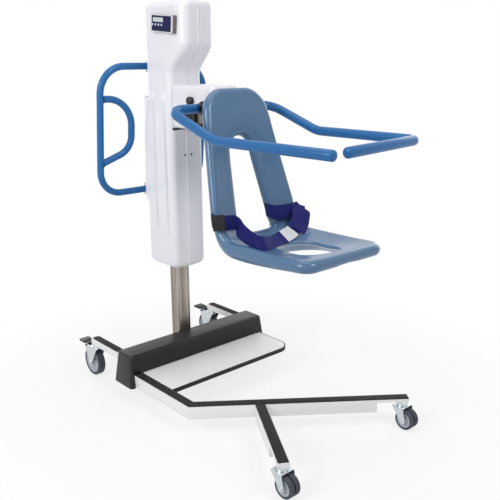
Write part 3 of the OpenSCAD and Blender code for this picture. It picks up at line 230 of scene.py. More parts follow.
def softened(name, node, radius, material):
    """The CAD piece with its sharp edges rounded."""
    weld, flat, hard = 2e-6, radians(0.7), radians(28)
    form = bmesh.new()
    form.from_mesh(frame["nodes"][node].data)
    bmesh.ops.remove_doubles(form, verts=form.verts, dist=weld)
    bmesh.ops.dissolve_limit(form, angle_limit=flat, verts=form.verts, edges=form.edges)
    bmesh.ops.bevel(
        form, geom=[e for e in form.edges if e.calc_face_angle(0) > hard], offset=radius, segments=3,
        profile=0.5, affect="EDGES", clamp_overlap=True,
    )
    mesh = bpy.data.meshes.new(name)
    form.to_mesh(mesh)
    form.free()
    return place(name, mesh, material, node)


white_coat = finish(
    "white_powder_coat", tint(241, 240, 240), 0.34, spread=0.015, patch=6, grain=420, depth=0.00012
)
for name, node, radius in (
    ("rear_crossbeam", "crossbeam", 0.003), ("left_leg_tube", "main_leg", 0.0014),
    ("slanting_leg_tube", "diagonal_leg", 0.004), ("short_leg_tube", "branch_leg", 0.004),
    ("rear_leg_tubes", "rear_legs", 0.004), ("board_brackets", "platform_brackets", 0.0015),
    ("mast_plates", "mast_gussets", 0.0015),
):
    softened(name, node, radius, white_coat)

# Anti-slip strips: ribbed black rubber, cut from the roll to the length of each leg and glued along
# the tops of the legs.
rubber = finish(
    "ribbed_rubber", tint(33, 32, 32), 0.75, spread=0.12, patch=30, grain=260, depth=0.0005,
    Specular_IOR_Level=0.3,
)
softened("grip_strips", "leg_strips", 0.001, rubber)

# Crossbeam cover: one black vacuum-formed moulding with drafted walls and a leathery grain, set
# over the beam from above.
black_shell = finish(
    "grained_black_shell", tint(18, 18, 24), 0.32, spread=0.12, patch=12, grain=700, depth=0.00022,
    Specular_IOR_Level=0.40,
)
softened("beam_hood", "crossbeam_cover", 0.004, black_shell)

# Foot platform: white laminated board, screwed to two flats, with a black strip pressed on its
# front and right edges.
laminate = finish("white_laminate", tint(248, 247, 245), 0.42, spread=0.02, patch=5, grain=350, depth=0.0002)
softened("foot_board", "foot_platform", 0.002, laminate)
edging = finish(
    "black_edging", tint(24, 24, 27), 0.48, spread=0.08, patch=20, grain=800, depth=0.0001,
    Specular_IOR_Level=0.35,
)
softened("board_edging", "platform_edge", 0.001, edging)

# Mast: square stainless tube with a ground finish along its length and broad pale and dark bands painted
# along it as reflections of the room; the drive inside the housing is a screw in a nut on the mast, a
# frame round the mast on plastic slides, gearbox and motor.
grind_scale, reflection_band_scale = (1400, 1400, 9), (52, 52, 2.2)
steel, wire = surface("ground_stainless")
spot = wire.node("ShaderNodeTexCoord", out="Object")
drawn = wire.node("ShaderNodeMapping", {}, {"Vector": spot, "Scale": grind_scale})
lines = wire.node("ShaderNodeTexNoise", {}, {"Vector": drawn, "Scale": 1.0, "Detail": 3.0})
# Broad pale and dark bands up the tube: painted reflection of the room, over the fine grinding lines.
reflection_band_at = wire.node("ShaderNodeMapping", {}, {"Vector": spot, "Scale": reflection_band_scale})
painted_reflection_bands = wire.node("ShaderNodeTexNoise", {}, {"Vector": reflection_band_at, "Scale": 1.0, "Detail": 3.0})
tone = wire.node(
    "ShaderNodeMapRange", {"interpolation_type": "SMOOTHSTEP"},
    {0: painted_reflection_bands*0.75 + lines*0.25, 1: 0.28, 2: 0.72},
)
wire.feed(steel.node_tree.nodes["Principled BSDF"], {
    "Base Color": wire.node(
        "ShaderNodeMix", {"data_type": "RGBA"}, {0: tone, 6: tint(116, 109, 102), 7: tint(184, 175, 168)}, 2
    ),
    "Roughness": 0.20 + lines*0.12 + tone*0.08,
    "Normal": wire.node("ShaderNodeBump", {}, {"Height": lines, "Strength": 0.25, "Distance": 0.00005}),
    "Metallic": 1,
})
softened("mast_tube", "mast", 0.004, steel)
zinc = finish(
    "bright_zinc", tint(204, 211, 215), 0.24, spread=0.14, patch=70, grain=500, depth=0.00010, Metallic=1
)
drive_dark = finish("dark_inner_parts", tint(52, 56, 56), 0.6, spread=0.08)
slide_plastic = finish("slide_plastic", tint(60, 60, 62), 0.45, spread=0.06)
for node, material in (
    ("lead_nut", zinc), ("lead_screw", steel), ("carriage_frame", zinc), ("guide_blocks", slide_plastic),
    ("gearbox", zinc), ("motor", drive_dark), ("control_board", drive_dark), ("battery_pack", drive_dark),
):
    mesh = frame["nodes"][node].data
    mesh.materials.clear()
    mesh.materials.append(material)

# Housing: two glossy white mouldings that meet in a seam at the front and rear, with a head that
# reaches forward, two shallow upright ribs on each side and a rounded foot; a domed lid closes the head.
gloss_white = finish(
    "gloss_white_moulding", tint(235, 235, 241), 0.30, spread=0.008, patch=3, grain=60, depth=0.00012,
    Coat_Weight=0.25, Coat_Roughness=0.14,
)
mast_low, mast_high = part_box("mast")
axis_x, axis_y = (mast_low.x + mast_high.x)/2, (mast_low.y + mast_high.y)/2
shell_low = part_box("housing_left")[0]
lid_low, lid_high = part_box("head_lid")
lid_rise, lid_under, lid_lip = lid_high.z - lid_low.z, 0.002, 0.00001
shell_half, shell_front, shell_rear = 0.080, 0.085, 0.104
head_front, head_rear = 0.178, 0.076
neck_z, neck_ease, head_z, step_z, step_run = 1.297, 0.018, 1.380, 1.194, 0.010
foot_round, shell_wall, seam_half = 0.026, 0.004, 0.0004
front_round, rear_round, seam_lip = 0.026, 0.022, 0.0008
inner_rounds = (0.022, 0.018, 0.0002)
rib_places, rib_half, rib_flank, rib_depth = (0.038, -0.036), 0.019, 0.0065, 0.010
rib_low, rib_low_run, rib_top, rib_top_run = 0.625, 0.05, 1.212, 0.028
strip_half, strip_slope, strip_rise = 0.0085, 0.0015, 0.0018
cheek_in, cheek_run = 0.010, 0.058
lip_steps, face_steps, corner_steps, side_steps = 4, 8, 12, 72
fine_dz, near_dz, far_dz, near_z = 0.003, 0.007, 0.014, 1.15
step_below, step_above, lid_gap = 0.02, 0.004, 0.004


def ease(t):
    """From 0 to 1 with a soft start and end."""
    t = max(0, min(1, t))
    return t*t*(3 - 2*t)


def shell_front_at(z):
    run = (z - neck_z + neck_ease)/(head_z - neck_z + 2*neck_ease)
    return -shell_front - (head_front - shell_front)*ease(run)


def shell_rear_at(z):
    return shell_rear - (shell_rear - head_rear)*ease((z - step_z + step_run)/step_run)


def rib_at(y, z):
    """How far the upright ribs stand out."""
    run = ease((rib_top - z)/rib_top_run)*ease((z - rib_low)/rib_low_run)
    return rib_depth*run*sum(ease((rib_half - abs(y - p))/rib_flank) for p in rib_places)


def draw_in(y, z):
    """How far the sides of the head come in near its front."""
    return cheek_in*ease((z - neck_z)/(head_z - neck_z))*ease((cheek_run + shell_front_at(z) - y)/cheek_run)


def half_outline(z, inset, front_r, rear_r, lip, ribs):
    """Half of the housing's outline at one height, from the seam in front round to the rear seam."""
    half, front, rear = shell_half - inset, shell_front_at(z) + inset, shell_rear_at(z) - inset
    slim = half - draw_in(front, z)
    raised = front - (strip_rise if ribs else 0)
    lips = [pi/2*k/lip_steps for k in range(lip_steps + 1)]
    line = [(seam_half + lip*(1 - cos(a)), raised + lip*(1 - sin(a))) for a in lips[:-1]]
    line += [(seam_half + lip + (strip_half - seam_half - lip)*k/2, raised) for k in range(3)]
    foot = strip_half + strip_slope
    line += [(foot + (slim - front_r - foot)*k/face_steps, front) for k in range(face_steps)]
    for k in range(corner_steps):
        a = pi/2*k/corner_steps
        y = front + front_r - front_r*cos(a)
        line.append((half - draw_in(y, z) - front_r*(1 - sin(a)), y))
    for k in range(side_steps):
        y = front + front_r + (rear - rear_r - front - front_r)*k/side_steps
        line.append((half - draw_in(y, z) + (rib_at(y, z) if ribs else 0), y))
    for k in range(face_steps):
        a = pi/2*k/face_steps
        line.append((half - rear_r + rear_r*cos(a), rear - rear_r + rear_r*sin(a)))
    run = half - rear_r - seam_half - lip
    line += [(half - rear_r - run*k/face_steps, rear) for k in range(face_steps)]
    return line + [(seam_half + lip*(1 - sin(a)), rear - lip*(1 - cos(a))) for a in lips]


def walls(rows, count):
    """Quads between rows of points that each run once round a form."""
    return [
        [i*count + k, i*count + (k + 1) % count, (i + 1)*count + (k + 1) % count, (i + 1)*count + k]
        for i in range(rows - 1) for k in range(count)
    ]


def end_strips(rows, count, first, last):
    """Faces that close both ends of a thin wall whose rows run out on one skin and back on the other."""
    return [
        [i*count + k, i*count + k + 1, i*count + count - 2 - k, i*count + count - 1 - k][::way]
        for i, way in ((0, first), (rows - 1, last)) for k in range(count//2 - 1)
    ]


def closed(rows, count):
    """The walls of a form with one face on each end."""
    return walls(rows, count) + [list(range(count))[::-1], [(rows - 1)*count + k for k in range(count)]]


def both_sides(line, z):
    """A half outline and its mirror image at one height."""
    right = [(axis_x + x, axis_y + y, z) for x, y in line]
    return right + [(axis_x - x, axis_y + y, z) for x, y in line[::-1]]


heights = []
for a in range(0, 91, 10):
    heights.append((shell_low.z + foot_round*(1 - cos(radians(a))), foot_round*(1 - sin(radians(a)))))
z, last_z = heights[-1][0], lid_low.z - lid_gap
while z < last_z:
    z += fine_dz if step_z - step_below < z < step_z + step_above else near_dz if z > near_z else far_dz
    heights.append((min(z, last_z), 0))
heights.append((lid_low.z, 0))
for side, sign in (("left", -1), ("right", 1)):
    verts = []
    for z, inset in heights:
        outer = half_outline(z, inset, front_round, rear_round, seam_lip, True)
        inner = half_outline(z, inset + shell_wall, *inner_rounds, False)
        verts += [(axis_x + sign*x, axis_y + y, z) for x, y in outer + inner[::-1]]
    rows, count = len(heights), len(verts)//len(heights)
    faces = [f[::sign] for f in walls(rows, count) + end_strips(rows, count, -1, 1)]
    mesh = mesh_of(f"housing_shell_{side}", verts, faces)
    place(f"housing_shell_{side}", mesh, gloss_white, f"housing_{side}", sharp=50)
verts, arcs = [], [radians(a) for a in range(0, 91, 9)]
for a in arcs:
    line = half_outline(lid_low.z, lid_rise*(1 - cos(a)), front_round, rear_round, lid_lip, False)
    verts += both_sides(line[lip_steps:-lip_steps - 1], lid_low.z + (lid_rise - lid_under)*sin(a))
mesh = mesh_of("head_cap", verts, closed(len(arcs), len(verts)//len(arcs)))
place("head_cap", mesh, gloss_white, "head_lid")
softened("housing_foot_plate", "housing_base", 0.001, gloss_white)

# Battery cover: a white hump on the rear of the housing, moulded in one piece and clipped in from
# behind.
cover_low, cover_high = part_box("battery_cover")
cover_half = (cover_high.x - cover_low.x)/2
deepest = cover_high.y - axis_y
hump_steps, hump_foot, hump_lean, lean_z = 60, 0.053, 0.018, 0.798
hump_round, hump_edge, hump_least, hump_sink, least_r = 0.020, 0.004, 0.0004, 0.002, 0.0002
verts, levels, quarter = [], [], [pi/2*k/10 for k in range(11)]
for k in range(hump_steps + 1):
    z = cover_low.z + (cover_high.z - cover_low.z)*k/hump_steps
    swell = sqrt(max(0, 1 - max(0, 1 - (z - cover_low.z)/hump_foot)**2))
    leant = hump_lean*max(0, (z - lean_z)/(cover_high.z - lean_z))
    rear = shell_rear + (deepest - shell_rear)*swell - leant
    levels.append((z, max(rear, shell_rear + hump_least), 0))
top_z, top_rear, _ = levels.pop()
for a in (0, 30, 60, 90):
    rise, inset = hump_edge*sin(radians(a)), hump_edge*(1 - cos(radians(a)))
    levels.append((top_z - hump_edge + rise, top_rear, inset))
for z, rear, inset in levels:
    half, back = cover_half - inset, rear - inset
    r = min(hump_round, max(least_r, back - shell_rear))
    line = [(half, shell_rear - hump_sink)]
    line += [(half - r + r*cos(a), back - r + r*sin(a)) for a in quarter]
    verts += both_sides(line, z)
mesh = mesh_of("battery_hump", verts, closed(len(levels), len(verts)//len(levels)))
place("battery_hump", mesh, gloss_white, "battery_cover", sharp=40)

# Seat beam: steel cheeks and a mounting plate under a rounded white moulding with a window in each
# side; black pivot blocks take the arms' spigots, and a black lobed knob clamps a slide in the window.
window_rear, window_front, window_low, window_top, window_r = -0.126, -0.276, 1.091, 1.147, 0.008
punch_half = 0.1


def rounded(low_a, high_a, low_b, high_b, r):
    """The outline of a rectangle with round corners."""
    corners = (
        (high_a - r, high_b - r, 0), (low_a + r, high_b - r, 90),
        (low_a + r, low_b + r, 180), (high_a - r, low_b + r, 270),
    )
    return [
        (a + r*cos(radians(start + turn)), b + r*sin(radians(start + turn)))
        for a, b, start in corners for turn in range(0, 91, 15)
    ]


mesh = frame["nodes"]["beam_cover"].data.copy()
mesh.materials.clear()
beam = place("beam_moulding", mesh, gloss_white, "beam_cover")
outline = rounded(window_front, window_rear, window_low, window_top, window_r)
verts = [(x, axis_y + y, z) for x in (axis_x - punch_half, axis_x + punch_half) for y, z in outline]
mesh = mesh_of("window_punch", verts, closed(2, len(outline)))
mesh.materials.append(gloss_white)
punch = bpy.data.objects.new("window_punch", mesh)
scene.collection.objects.link(punch)
cut = beam.modifiers.new("window", "BOOLEAN")
cut.operation, cut.object, cut.solver = "DIFFERENCE", punch, "EXACT"
opened = bpy.data.meshes.new_from_object(beam.evaluated_get(bpy.context.evaluated_depsgraph_get()))
beam.modifiers.clear()
beam.data = opened
opened.set_sharp_from_angle(angle=radians(35))
bpy.data.objects.remove(punch)
# The cheeks seen through the windows are coloured a dark brown-grey: painted shade inside the moulding.
steel_in_painted_shade = finish(
    "brown_grey_steel", tint(136, 127, 122), 0.42, spread=0.12, patch=30, grain=500, depth=0.0001,
    Metallic=0.8,
)
softened("seat_cheeks", "seat_bracket", 0.001, steel_in_painted_shade)
black_plastic = finish(
    "black_plastic", tint(20, 20, 23), 0.38, spread=0.10, patch=25, grain=700, depth=0.0002,
    Specular_IOR_Level=0.4,
)
softened("arm_bearings", "arm_pivots", 0.002, black_plastic)


def blocks(name, boxes, radius, turn=None):
    """A mesh of rounded blocks, each from its low to its high corner."""
    verts, faces = [], []
    for low, high in boxes:
        first = len(verts)
        for z in (low[2], high[2]):
            verts += [(low[0], low[1], z), (high[0], low[1], z), (high[0], high[1], z), (low[0], high[1], z)]
        for quad in ((3, 2, 1, 0), (4, 5, 6, 7), (0, 1, 5, 4), (1, 2, 6, 5), (2, 3, 7, 6), (3, 0, 4, 7)):
            faces.append([first + i for i in quad])
    mesh = mesh_of(name, verts, faces)
    form = bmesh.new()
    form.from_mesh(mesh)
    bmesh.ops.bevel(form, geom=list(form.edges), offset=radius, segments=2, profile=0.5, affect="EDGES")
    form.to_mesh(mesh)
    form.free()
    mesh.transform(turn or Matrix.Translation((axis_x, axis_y, 0)))
    return mesh


cheek_out, slide_out, ridge_rise, ridge_sink = 0.0502, 0.0600, 0.0022, 0.0005
slide_front, slide_rear, slide_over = -0.214, -0.1225, 0.002
ridge_places, ridge_w, ridge_short = (-0.210, -0.189, -0.168, -0.147), 0.012, 0.004
slides = []
for sign in (-1, 1):
    low_x, high_x = sorted((sign*cheek_out, sign*slide_out))
    low_z, high_z = window_low - slide_over, window_top + slide_over
    slides.append(((low_x, slide_front, low_z), (high_x, slide_rear, high_z)))
    low_x, high_x = sorted((sign*(slide_out - ridge_sink), sign*(slide_out + ridge_rise)))
    low_z, high_z = window_low + ridge_short, window_top - ridge_short
    slides += [((low_x, y, low_z), (high_x, y + ridge_w, high_z)) for y in ridge_places]
place("clamp_slides", blocks("clamp_slides", slides, 0.0006), black_plastic, "clamp_knob", body="carriage")
# A thin black strip along the foot of the beam moulding, in front of the housing: painted shade of the gap
# beneath the moulding.
gap_shade_strip = [((-0.070, -0.0862, 1.0690), (0.070, -0.0800, 1.0768))]
place("beam_seal", blocks("beam_seal", gap_shade_strip, 0.0008), black_plastic, "beam_cover", body="carriage")
knob_low, knob_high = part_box("clamp_knob")
knob_at = Vector((knob_low.x, (knob_low.y + knob_high.y)/2, (knob_low.z + knob_high.z)/2))
knob_r, knob_lobes, lobe_depth, stud_share, knob_sides = (knob_high.z - knob_low.z)/2, 7, 0.045, 0.3, 84
knob_rings = [
    (0, 0.50), (0.0008, 0.74), (0.0025, 0.92), (0.0055, 1.0), (0.0150, 1.0), (0.0182, 0.92),
    (0.0198, 0.70), (0.0200, stud_share), (knob_high.x - knob_low.x, stud_share),
]
verts = []
for x, share in knob_rings:
    for k in range(knob_sides):
        a = 2*pi*k/knob_sides
        r = knob_r*share*(1 - (lobe_depth + lobe_depth*cos(knob_lobes*a))*(share > stud_share))
        verts.append(knob_at + Vector((x, r*cos(a), r*sin(a))))
mesh = mesh_of("height_knob", verts, closed(len(knob_rings), knob_sides))
place("height_knob", mesh, black_plastic, "clamp_knob")

# Seat: one rotational moulding in blue polyethylene, 42 mm thick with full round rims, a tall slot
# in the backrest, an opening in the seat and a dished middle; screwed to the mounting plate.
seat_low, seat_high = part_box("seat_shell")
seat_half = (seat_high.x - seat_low.x)/2
back_half, seat_r, seat_level = 0.139, 0.021, 0.709
seat_front, back_top, back_y = axis_y - seat_low.y, 1.234, 0.356
top_corner, front_corner, widen_run = 0.085, 0.055, 0.43
lean, bend_r = radians(15.9), 0.090
turn = pi/2 - lean
corner_y = -back_y - (back_top - seat_level)*tan(lean)
bend_cut = bend_r*tan(turn/2)
back_run = (back_top - seat_level)/cos(lean) - bend_cut
bend_run = bend_r*turn
seat_run = seat_front + corner_y - bend_cut
seat_total = back_run + bend_run + seat_run
hole_y, hole_r, hole_half, hole_thick, hole_rim, thin_run = 0.750, 0.078, 0.040, 0.011, 0.005, 0.07
hole_s = seat_total - seat_front + hole_y
dish_depth, dish_top, dish_run = 0.026, 0.08, 0.18
swell_depth, swell_rear_run, swell_front_run = 0.016, 0.09, 0.33


def corner_in(r, d):
    """How far a round corner has come in at a place d from its end."""
    return r - sqrt(max(0, r*r - (r - d)**2)) if d < r else 0


def flank(s):
    return back_half + (seat_half - back_half)*min(1, s/widen_run)


def seat_wide(s):
    return flank(s) - corner_in(top_corner, s) - corner_in(front_corner, seat_total - s)


def seat_point(x, s, q):
    """The point of the seat's skin x from its middle and s from its top; q is 1 above and -1 below."""
    tilt = lean + turn*max(0, min(1, (s - back_run)/bend_run))
    if s < back_run:
        middle = Vector((0, -back_y - s*sin(lean), back_top - s*cos(lean)))
    else:
        middle = Vector((0, corner_y - bend_cut + bend_r*cos(tilt), seat_level + bend_r - bend_r*sin(tilt)))
        middle.y -= max(0, s - back_run - bend_run)
    up = Vector((0, -cos(tilt), sin(tilt)))
    dish = dish_depth*ease((s - dish_top)/dish_run)*ease((seat_total - s)/dish_run)
    swell = swell_depth*ease((s - back_run)/swell_rear_run)*ease((seat_total - s)/swell_front_run)
    away = sqrt(x*x + max(0, abs(s - hole_s) - hole_half)**2) - hole_r
    thick = 2*seat_r + swell + (hole_thick - 2*seat_r - swell)*ease(1 - away/thin_run)
    out = seat_r - thick*(1 - q)/2 - dish*max(0, 1 - (x/flank(s))**2)
    return Vector((axis_x + x, axis_y, 0)) + middle + up*out


step, clear, grid_half, merge_gap = 0.011, 0.006, 18, 1e-7
front_steps, top_steps, slot_steps, foot_steps, hole_steps = 28, 10, 24, 10, 7
stops = [top_corner*(1 - cos(radians(a))) for a in range(0, 90, 6)]
while stops[-1] < seat_total - front_corner - step:
    stops.append(max(stops[-1] + step, top_corner))
stops += [seat_total - front_corner*(1 - cos(radians(a))) for a in range(88, -1, -8)]
right_edge = [(seat_wide(s), s) for s in stops]
front_half, top_half = right_edge[-1][0], right_edge[0][0]
rim = right_edge + [(front_half - 2*front_half*k/front_steps, seat_total) for k in range(1, front_steps)]
rim += [(-x, s) for x, s in right_edge[::-1]]
rim += [(-top_half + 2*top_half*k/top_steps, 0) for k in range(1, top_steps)]
slot_z, slot_past, slot_r, slot_low, slot_corner = 1.069, 0.0385, 0.052, 0.084, 0.022
slot_top, slot_end = (back_top - slot_z)/cos(lean), back_run + slot_past
arch_s, foot_x, foot_s = slot_top + slot_r, slot_low - slot_corner, slot_end - slot_corner
flare, slot_run = slot_low - slot_r, slot_end - slot_top - slot_r
slot_side = [
    (slot_r + flare*k/slot_steps, arch_s + slot_run*k/slot_steps) for k in range(1, slot_steps - 1)
]
quarter = [radians(a) for a in range(0, 91, 15)]
slot = [(slot_r*cos(radians(a)), arch_s - slot_r*sin(radians(a))) for a in range(180, -1, -9)]
slot += slot_side
slot += [(foot_x + slot_corner*cos(a), foot_s + slot_corner*sin(a)) for a in quarter]
slot += [(foot_x*(1 - 2*k/foot_steps), slot_end) for k in range(1, foot_steps)]
slot += [(-foot_x - slot_corner*sin(a), foot_s + slot_corner*cos(a)) for a in quarter]
slot += [(-x, s) for x, s in slot_side[::-1]]
hole = [(hole_r*cos(radians(a)), hole_s + hole_half + hole_r*sin(radians(a))) for a in range(0, 181, 9)]
hole += [(-hole_r, hole_s + hole_half - 2*hole_half*k/hole_steps) for k in range(1, hole_steps)]
hole += [(hole_r*cos(radians(a)), hole_s - hole_half + hole_r*sin(radians(a))) for a in range(180, 361, 9)]
hole += [(hole_r, hole_s - hole_half + 2*hole_half*k/hole_steps) for k in range(1, hole_steps)]


def moved_in(loop, d, sign):
    """The loop moved by d into the moulding."""
    moved = []
    for i, (x, s) in enumerate(loop):
        (x0, s0), (x1, s1) = loop[i - 1], loop[(i + 1) % len(loop)]
        run = sqrt((x1 - x0)**2 + (s1 - s0)**2)
        moved.append((x - sign*d*(s1 - s0)/run, s + sign*d*(x1 - x0)/run))
    return moved


def turned(loop):
    """Twice the area of a loop, below 0 when it runs clockwise."""
    return sum(a[0]*b[1] - b[0]*a[1] for a, b in zip(loop, loop[1:] + loop[:1]))


def inside(x, s, loop):
    """Whether a point lies inside a loop."""
    hit = False
    for (x0, s0), (x1, s1) in zip(loop, loop[1:] + loop[:1]):
        if (s0 > s) != (s1 > s) and x < x0 + (x1 - x0)*(s - s0)/(s1 - s0):
            hit = not hit
    return hit


def in_seat(x, s):
    return inside(x, s, rim) and not inside(x, s, slot) and not inside(x, s, hole)


def faced_out(mesh):
    """Turns the faces of a closed mesh outwards and drops the points that no face uses."""
    form = bmesh.new()
    form.from_mesh(mesh)
    bmesh.ops.recalc_face_normals(form, faces=form.faces)
    bmesh.ops.delete(form, geom=[v for v in form.verts if not v.link_faces], context="VERTS")
    form.to_mesh(mesh)
    form.free()
    return mesh


loops = [(rim, 1, seat_r), (slot, -1, seat_r), (hole, -1, hole_rim)]
points, shares, rings = [], [], []
for loop, kind, round_r in loops:
    sign = kind*(1 if turned(loop) > 0 else -1)
    rings += [(len(points) + i, len(points) + (i + 1) % len(loop)) for i in range(len(loop))]
    for a in range(0, 91, 18):
        points += moved_in(loop, round_r*(1 - cos(radians(a))), sign)
        shares += [sin(radians(a))]*len(loop)
borders = [(x, s, round_r) for loop, kind, round_r in loops for x, s in loop]
near = KDTree(len(borders))
for i, (x, s, round_r) in enumerate(borders):
    near.insert((x, s, 0), i)
near.balance()
for i in range(-grid_half, grid_half + 1):
    for j in range(int(seat_total/step)):
        x, s = i*step, (j + 0.5*(i % 2))*step
        if in_seat(x, s):
            _, border, gap = near.find((x, s, 0))
            if gap > borders[border][2] + clear:
                points.append((x, s))
                shares.append(1)
points = [Vector(p) for p in points]
flat, _, spans, source = delaunay_2d_cdt(points, rings, [], 0, merge_gap, True)[:4]
shares = [shares[source[i][0]] for i in range(len(flat))]
spans = [
    f for f in spans
    if any(shares[i] for i in f) and in_seat(sum(flat[i].x for i in f)/3, sum(flat[i].y for i in f)/3)
]
verts = [seat_point(p.x, p.y, q) for p, q in zip(flat, shares)]
under = {}
for i, (p, q) in enumerate(zip(flat, shares)):
    under[i] = len(verts) if q > 0 else i
    if q > 0:
        verts.append(seat_point(p.x, p.y, -q))
faces = [tuple(f)[::-1] for f in spans] + [tuple(under[i] for i in f) for f in spans]
seat_blue = finish(
    "moulded_blue_seat", tint(77, 113, 150), 0.30, spread=0.04, patch=5, grain=520, depth=0.00012,
    Specular_IOR_Level=0.35, Coat_Weight=0.40, Coat_Roughness=0.07,
)
place("blue_seat", faced_out(mesh_of("blue_seat", verts, faces)), seat_blue, "seat_shell", sharp=60)

# Lap belt: 52 mm navy polyester webbing round both struts of the backrest, slack in front of the
# sitter, with a black ladder buckle at the left strut and a plain sewn patch.
belt_stations = [
    ((-194, -468, 790), (0, 0.15, 1)), ((-203, -501, 790), (0, 0.0, 1)),
    ((-187, -517, 789), (0, 0.0, 1)), ((-160, -518, 785), (0, 0.22, 1)),
    ((-128, -518, 781), (0.10, 0.22, 1)), ((-124, -530, 771), (0.35, 0.0, 0.9)),
    ((-139, -560, 761), (0.45, -0.12, 0.87)), ((-148, -606, 749), (0.33, 0.01, 0.94)),
    ((-160, -655, 746), (0.19, 0.15, 0.97)), ((-172, -686, 747), (0.06, 0.28, 0.96)),
    ((-158, -700, 745), (0.15, 0.50, 0.83)), ((-118, -680, 736), (0.20, 0.68, 0.70)),
    ((-74, -652, 727), (0.22, 0.80, 0.55)), ((-16, -625, 723), (0.03, 0.83, 0.55)),
    ((30, -616, 726), (-0.36, 0.64, 0.68)), ((86, -592, 730), (-0.47, 0.66, 0.59)),
    ((126, -575, 748), (-0.52, 0.69, 0.51)), ((160, -549, 775), (-0.55, 0.73, 0.40)),
    ((188, -522, 793), (-0.40, 0.85, 0.30)), ((203, -510, 798), (-0.20, 0.95, 0.15)),
]
wrap_stations = [
    ((70, -462, 790), (0, 0.26, 1)), ((69, -488, 789), (0, 0.26, 1)),
    ((80, -510, 787), (0, 0.27, 1)), ((118, -515, 785), (0, 0.27, 1)),
    ((160, -516, 785), (0, 0.27, 1)), ((186, -515, 787), (0, 0.45, 0.9)),
    ((204, -516, 791), (-0.05, 0.75, 0.66)), ((209, -526, 787), (-0.20, 0.88, 0.42)),
    ((196, -543, 779), (-0.42, 0.80, 0.42)), ((172, -562, 764), (-0.53, 0.72, 0.44)),
    ((144, -582, 744), (-0.52, 0.69, 0.51)), ((106, -601, 728), (-0.47, 0.66, 0.59)),
]
belt_w, belt_t, belt_edge, edge_power, station_steps, belt_across = 0.052, 0.0022, 0.35, 6, 8, 8
ripple, ripple_along, ripple_across = 0.0003, 90, 4
patch_run, patch_lift, patch_t = slice(109, 121), 0.0018, 0.0008


def smooth_run(stations):
    """Points and cross directions of the webbing on a smooth curve through its stations."""
    made = []
    rows = [tuple(Vector(p) for p in s) for s in stations]
    for i in range(len(rows) - 1):
        a, b, c, d = (rows[max(0, min(len(rows) - 1, i + k))] for k in (-1, 0, 1, 2))
        for k in range(station_steps + (i == len(rows) - 2)):
            t = k/station_steps
            made.append([
                0.5*(
                    2*b[n] + (c[n] - a[n])*t + (2*a[n] - 5*b[n] + 4*c[n] - d[n])*t*t
                    + (3*b[n] - a[n] - 3*c[n] + d[n])*t**3
                )
                for n in (0, 1)
            ])
    return [(Vector((axis_x, axis_y, 0)) + p/1000, up.normalized()) for p, up in made]


def webbing(name, stations, lift=0, thick=belt_t, part=slice(None)):
    """A strap along the stations, or along a part of them, lifted off its middle."""
    run = smooth_run(stations)[part]
    verts, uvs, length = [], [], 0
    for i, (p, up) in enumerate(run):
        along = (run[min(i + 1, len(run) - 1)][0] - run[max(i - 1, 0)][0]).normalized()
        out = along.cross(up).normalized()
        length += (p - run[i - 1][0]).length if i else 0
        for side in (0, 1):
            for k in range(belt_across + 1):
                share = (k if side == 0 else belt_across - k)/belt_across
                edge = max(belt_edge, sqrt(max(0, 1 - abs(2*k/belt_across - 1)**edge_power)))
                wave = ripple*sin(length*ripple_along + share*ripple_across)
                verts.append(p + up*belt_w*(share - 0.5) + out*(lift + wave + (0.5 - side)*thick*edge))
                uvs.append((length, share*belt_w))
    rows, count = len(run), 2*belt_across + 2
    faces = [[a, d, c, b] for a, b, c, d in walls(rows, count)] + end_strips(rows, count, 1, -1)
    mesh = mesh_of(name, verts, faces)
    layer = mesh.uv_layers.new(name="weave")
    for loop in mesh.loops:
        layer.data[loop.index].uv = uvs[loop.vertex_index]
    return mesh


weave, wire = surface("navy_webbing")
spot = wire.node("ShaderNodeTexCoord", out="UV")
ribs, picks = (
    wire.node(
        "ShaderNodeTexWave", {"bands_direction": way},
        {"Vector": spot, "Scale": scale, "Distortion": waver, "Detail": 1.0}, "Fac",
    )
    for way, scale, waver in (("X", 210.0, 0.6), ("Y", 290.0, 0.4))
)
cloth = ribs*0.6 + picks*0.4
cloud = wire.node("ShaderNodeTexNoise", {}, {"Vector": spot, "Scale": 60.0, "Detail": 4.0})
wire.feed(weave.node_tree.nodes["Principled BSDF"], {
    "Base Color": wire.node(
        "ShaderNodeMix", {"data_type": "RGBA"},
        {0: cloth*0.6 + cloud*0.4, 6: tint(15, 18, 74), 7: tint(34, 40, 122)}, 2,
    ),
    "Normal": wire.node("ShaderNodeBump", {}, {"Height": cloth, "Strength": 0.7, "Distance": 0.0004}),
    "Roughness": 0.72,
    "Specular IOR Level": 0.2,
})
place("belt_strap", webbing("belt_strap", belt_stations), weave, "lap_belt", sharp=50)
place("belt_wrap", webbing("belt_wrap", wrap_stations), weave, "lap_belt", sharp=50, body="carriage")
patch_cloth = finish("white_patch", tint(228, 228, 232), 0.6, patch=60, grain=1500, depth=0.0002)
mesh = webbing("belt_patch", belt_stations, patch_lift, patch_t, patch_run)
place("belt_patch", mesh, patch_cloth, "lap_belt", sharp=50, body="carriage")
buckle_low, buckle_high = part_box("belt_buckle")
buckle_at = (buckle_low + buckle_high)/2
buckle_turn, buckle_tilt = radians(-45), radians(-6)
tall, wide, deep, bar = (buckle_high.z - buckle_low.z)/2, 0.0215, 0.0030, 0.003
middle_x, bar_short, web_in = -0.004, 0.002, 0.004
bars = [((-wide, -deep, z - bar), (wide, deep, z + bar)) for z in (-tall + bar, tall - bar)]
bars += [
    ((x - bar, -d, -tall + bar_short), (x + bar, d, tall - bar_short))
    for x, d in ((-wide + bar, deep), (middle_x, deep*0.9), (wide - bar, deep))
]
bars += [((-wide + web_in, -deep*0.35, -tall + web_in), (wide - web_in, deep*0.2, tall - web_in))]
stand = Matrix.Translation(buckle_at)
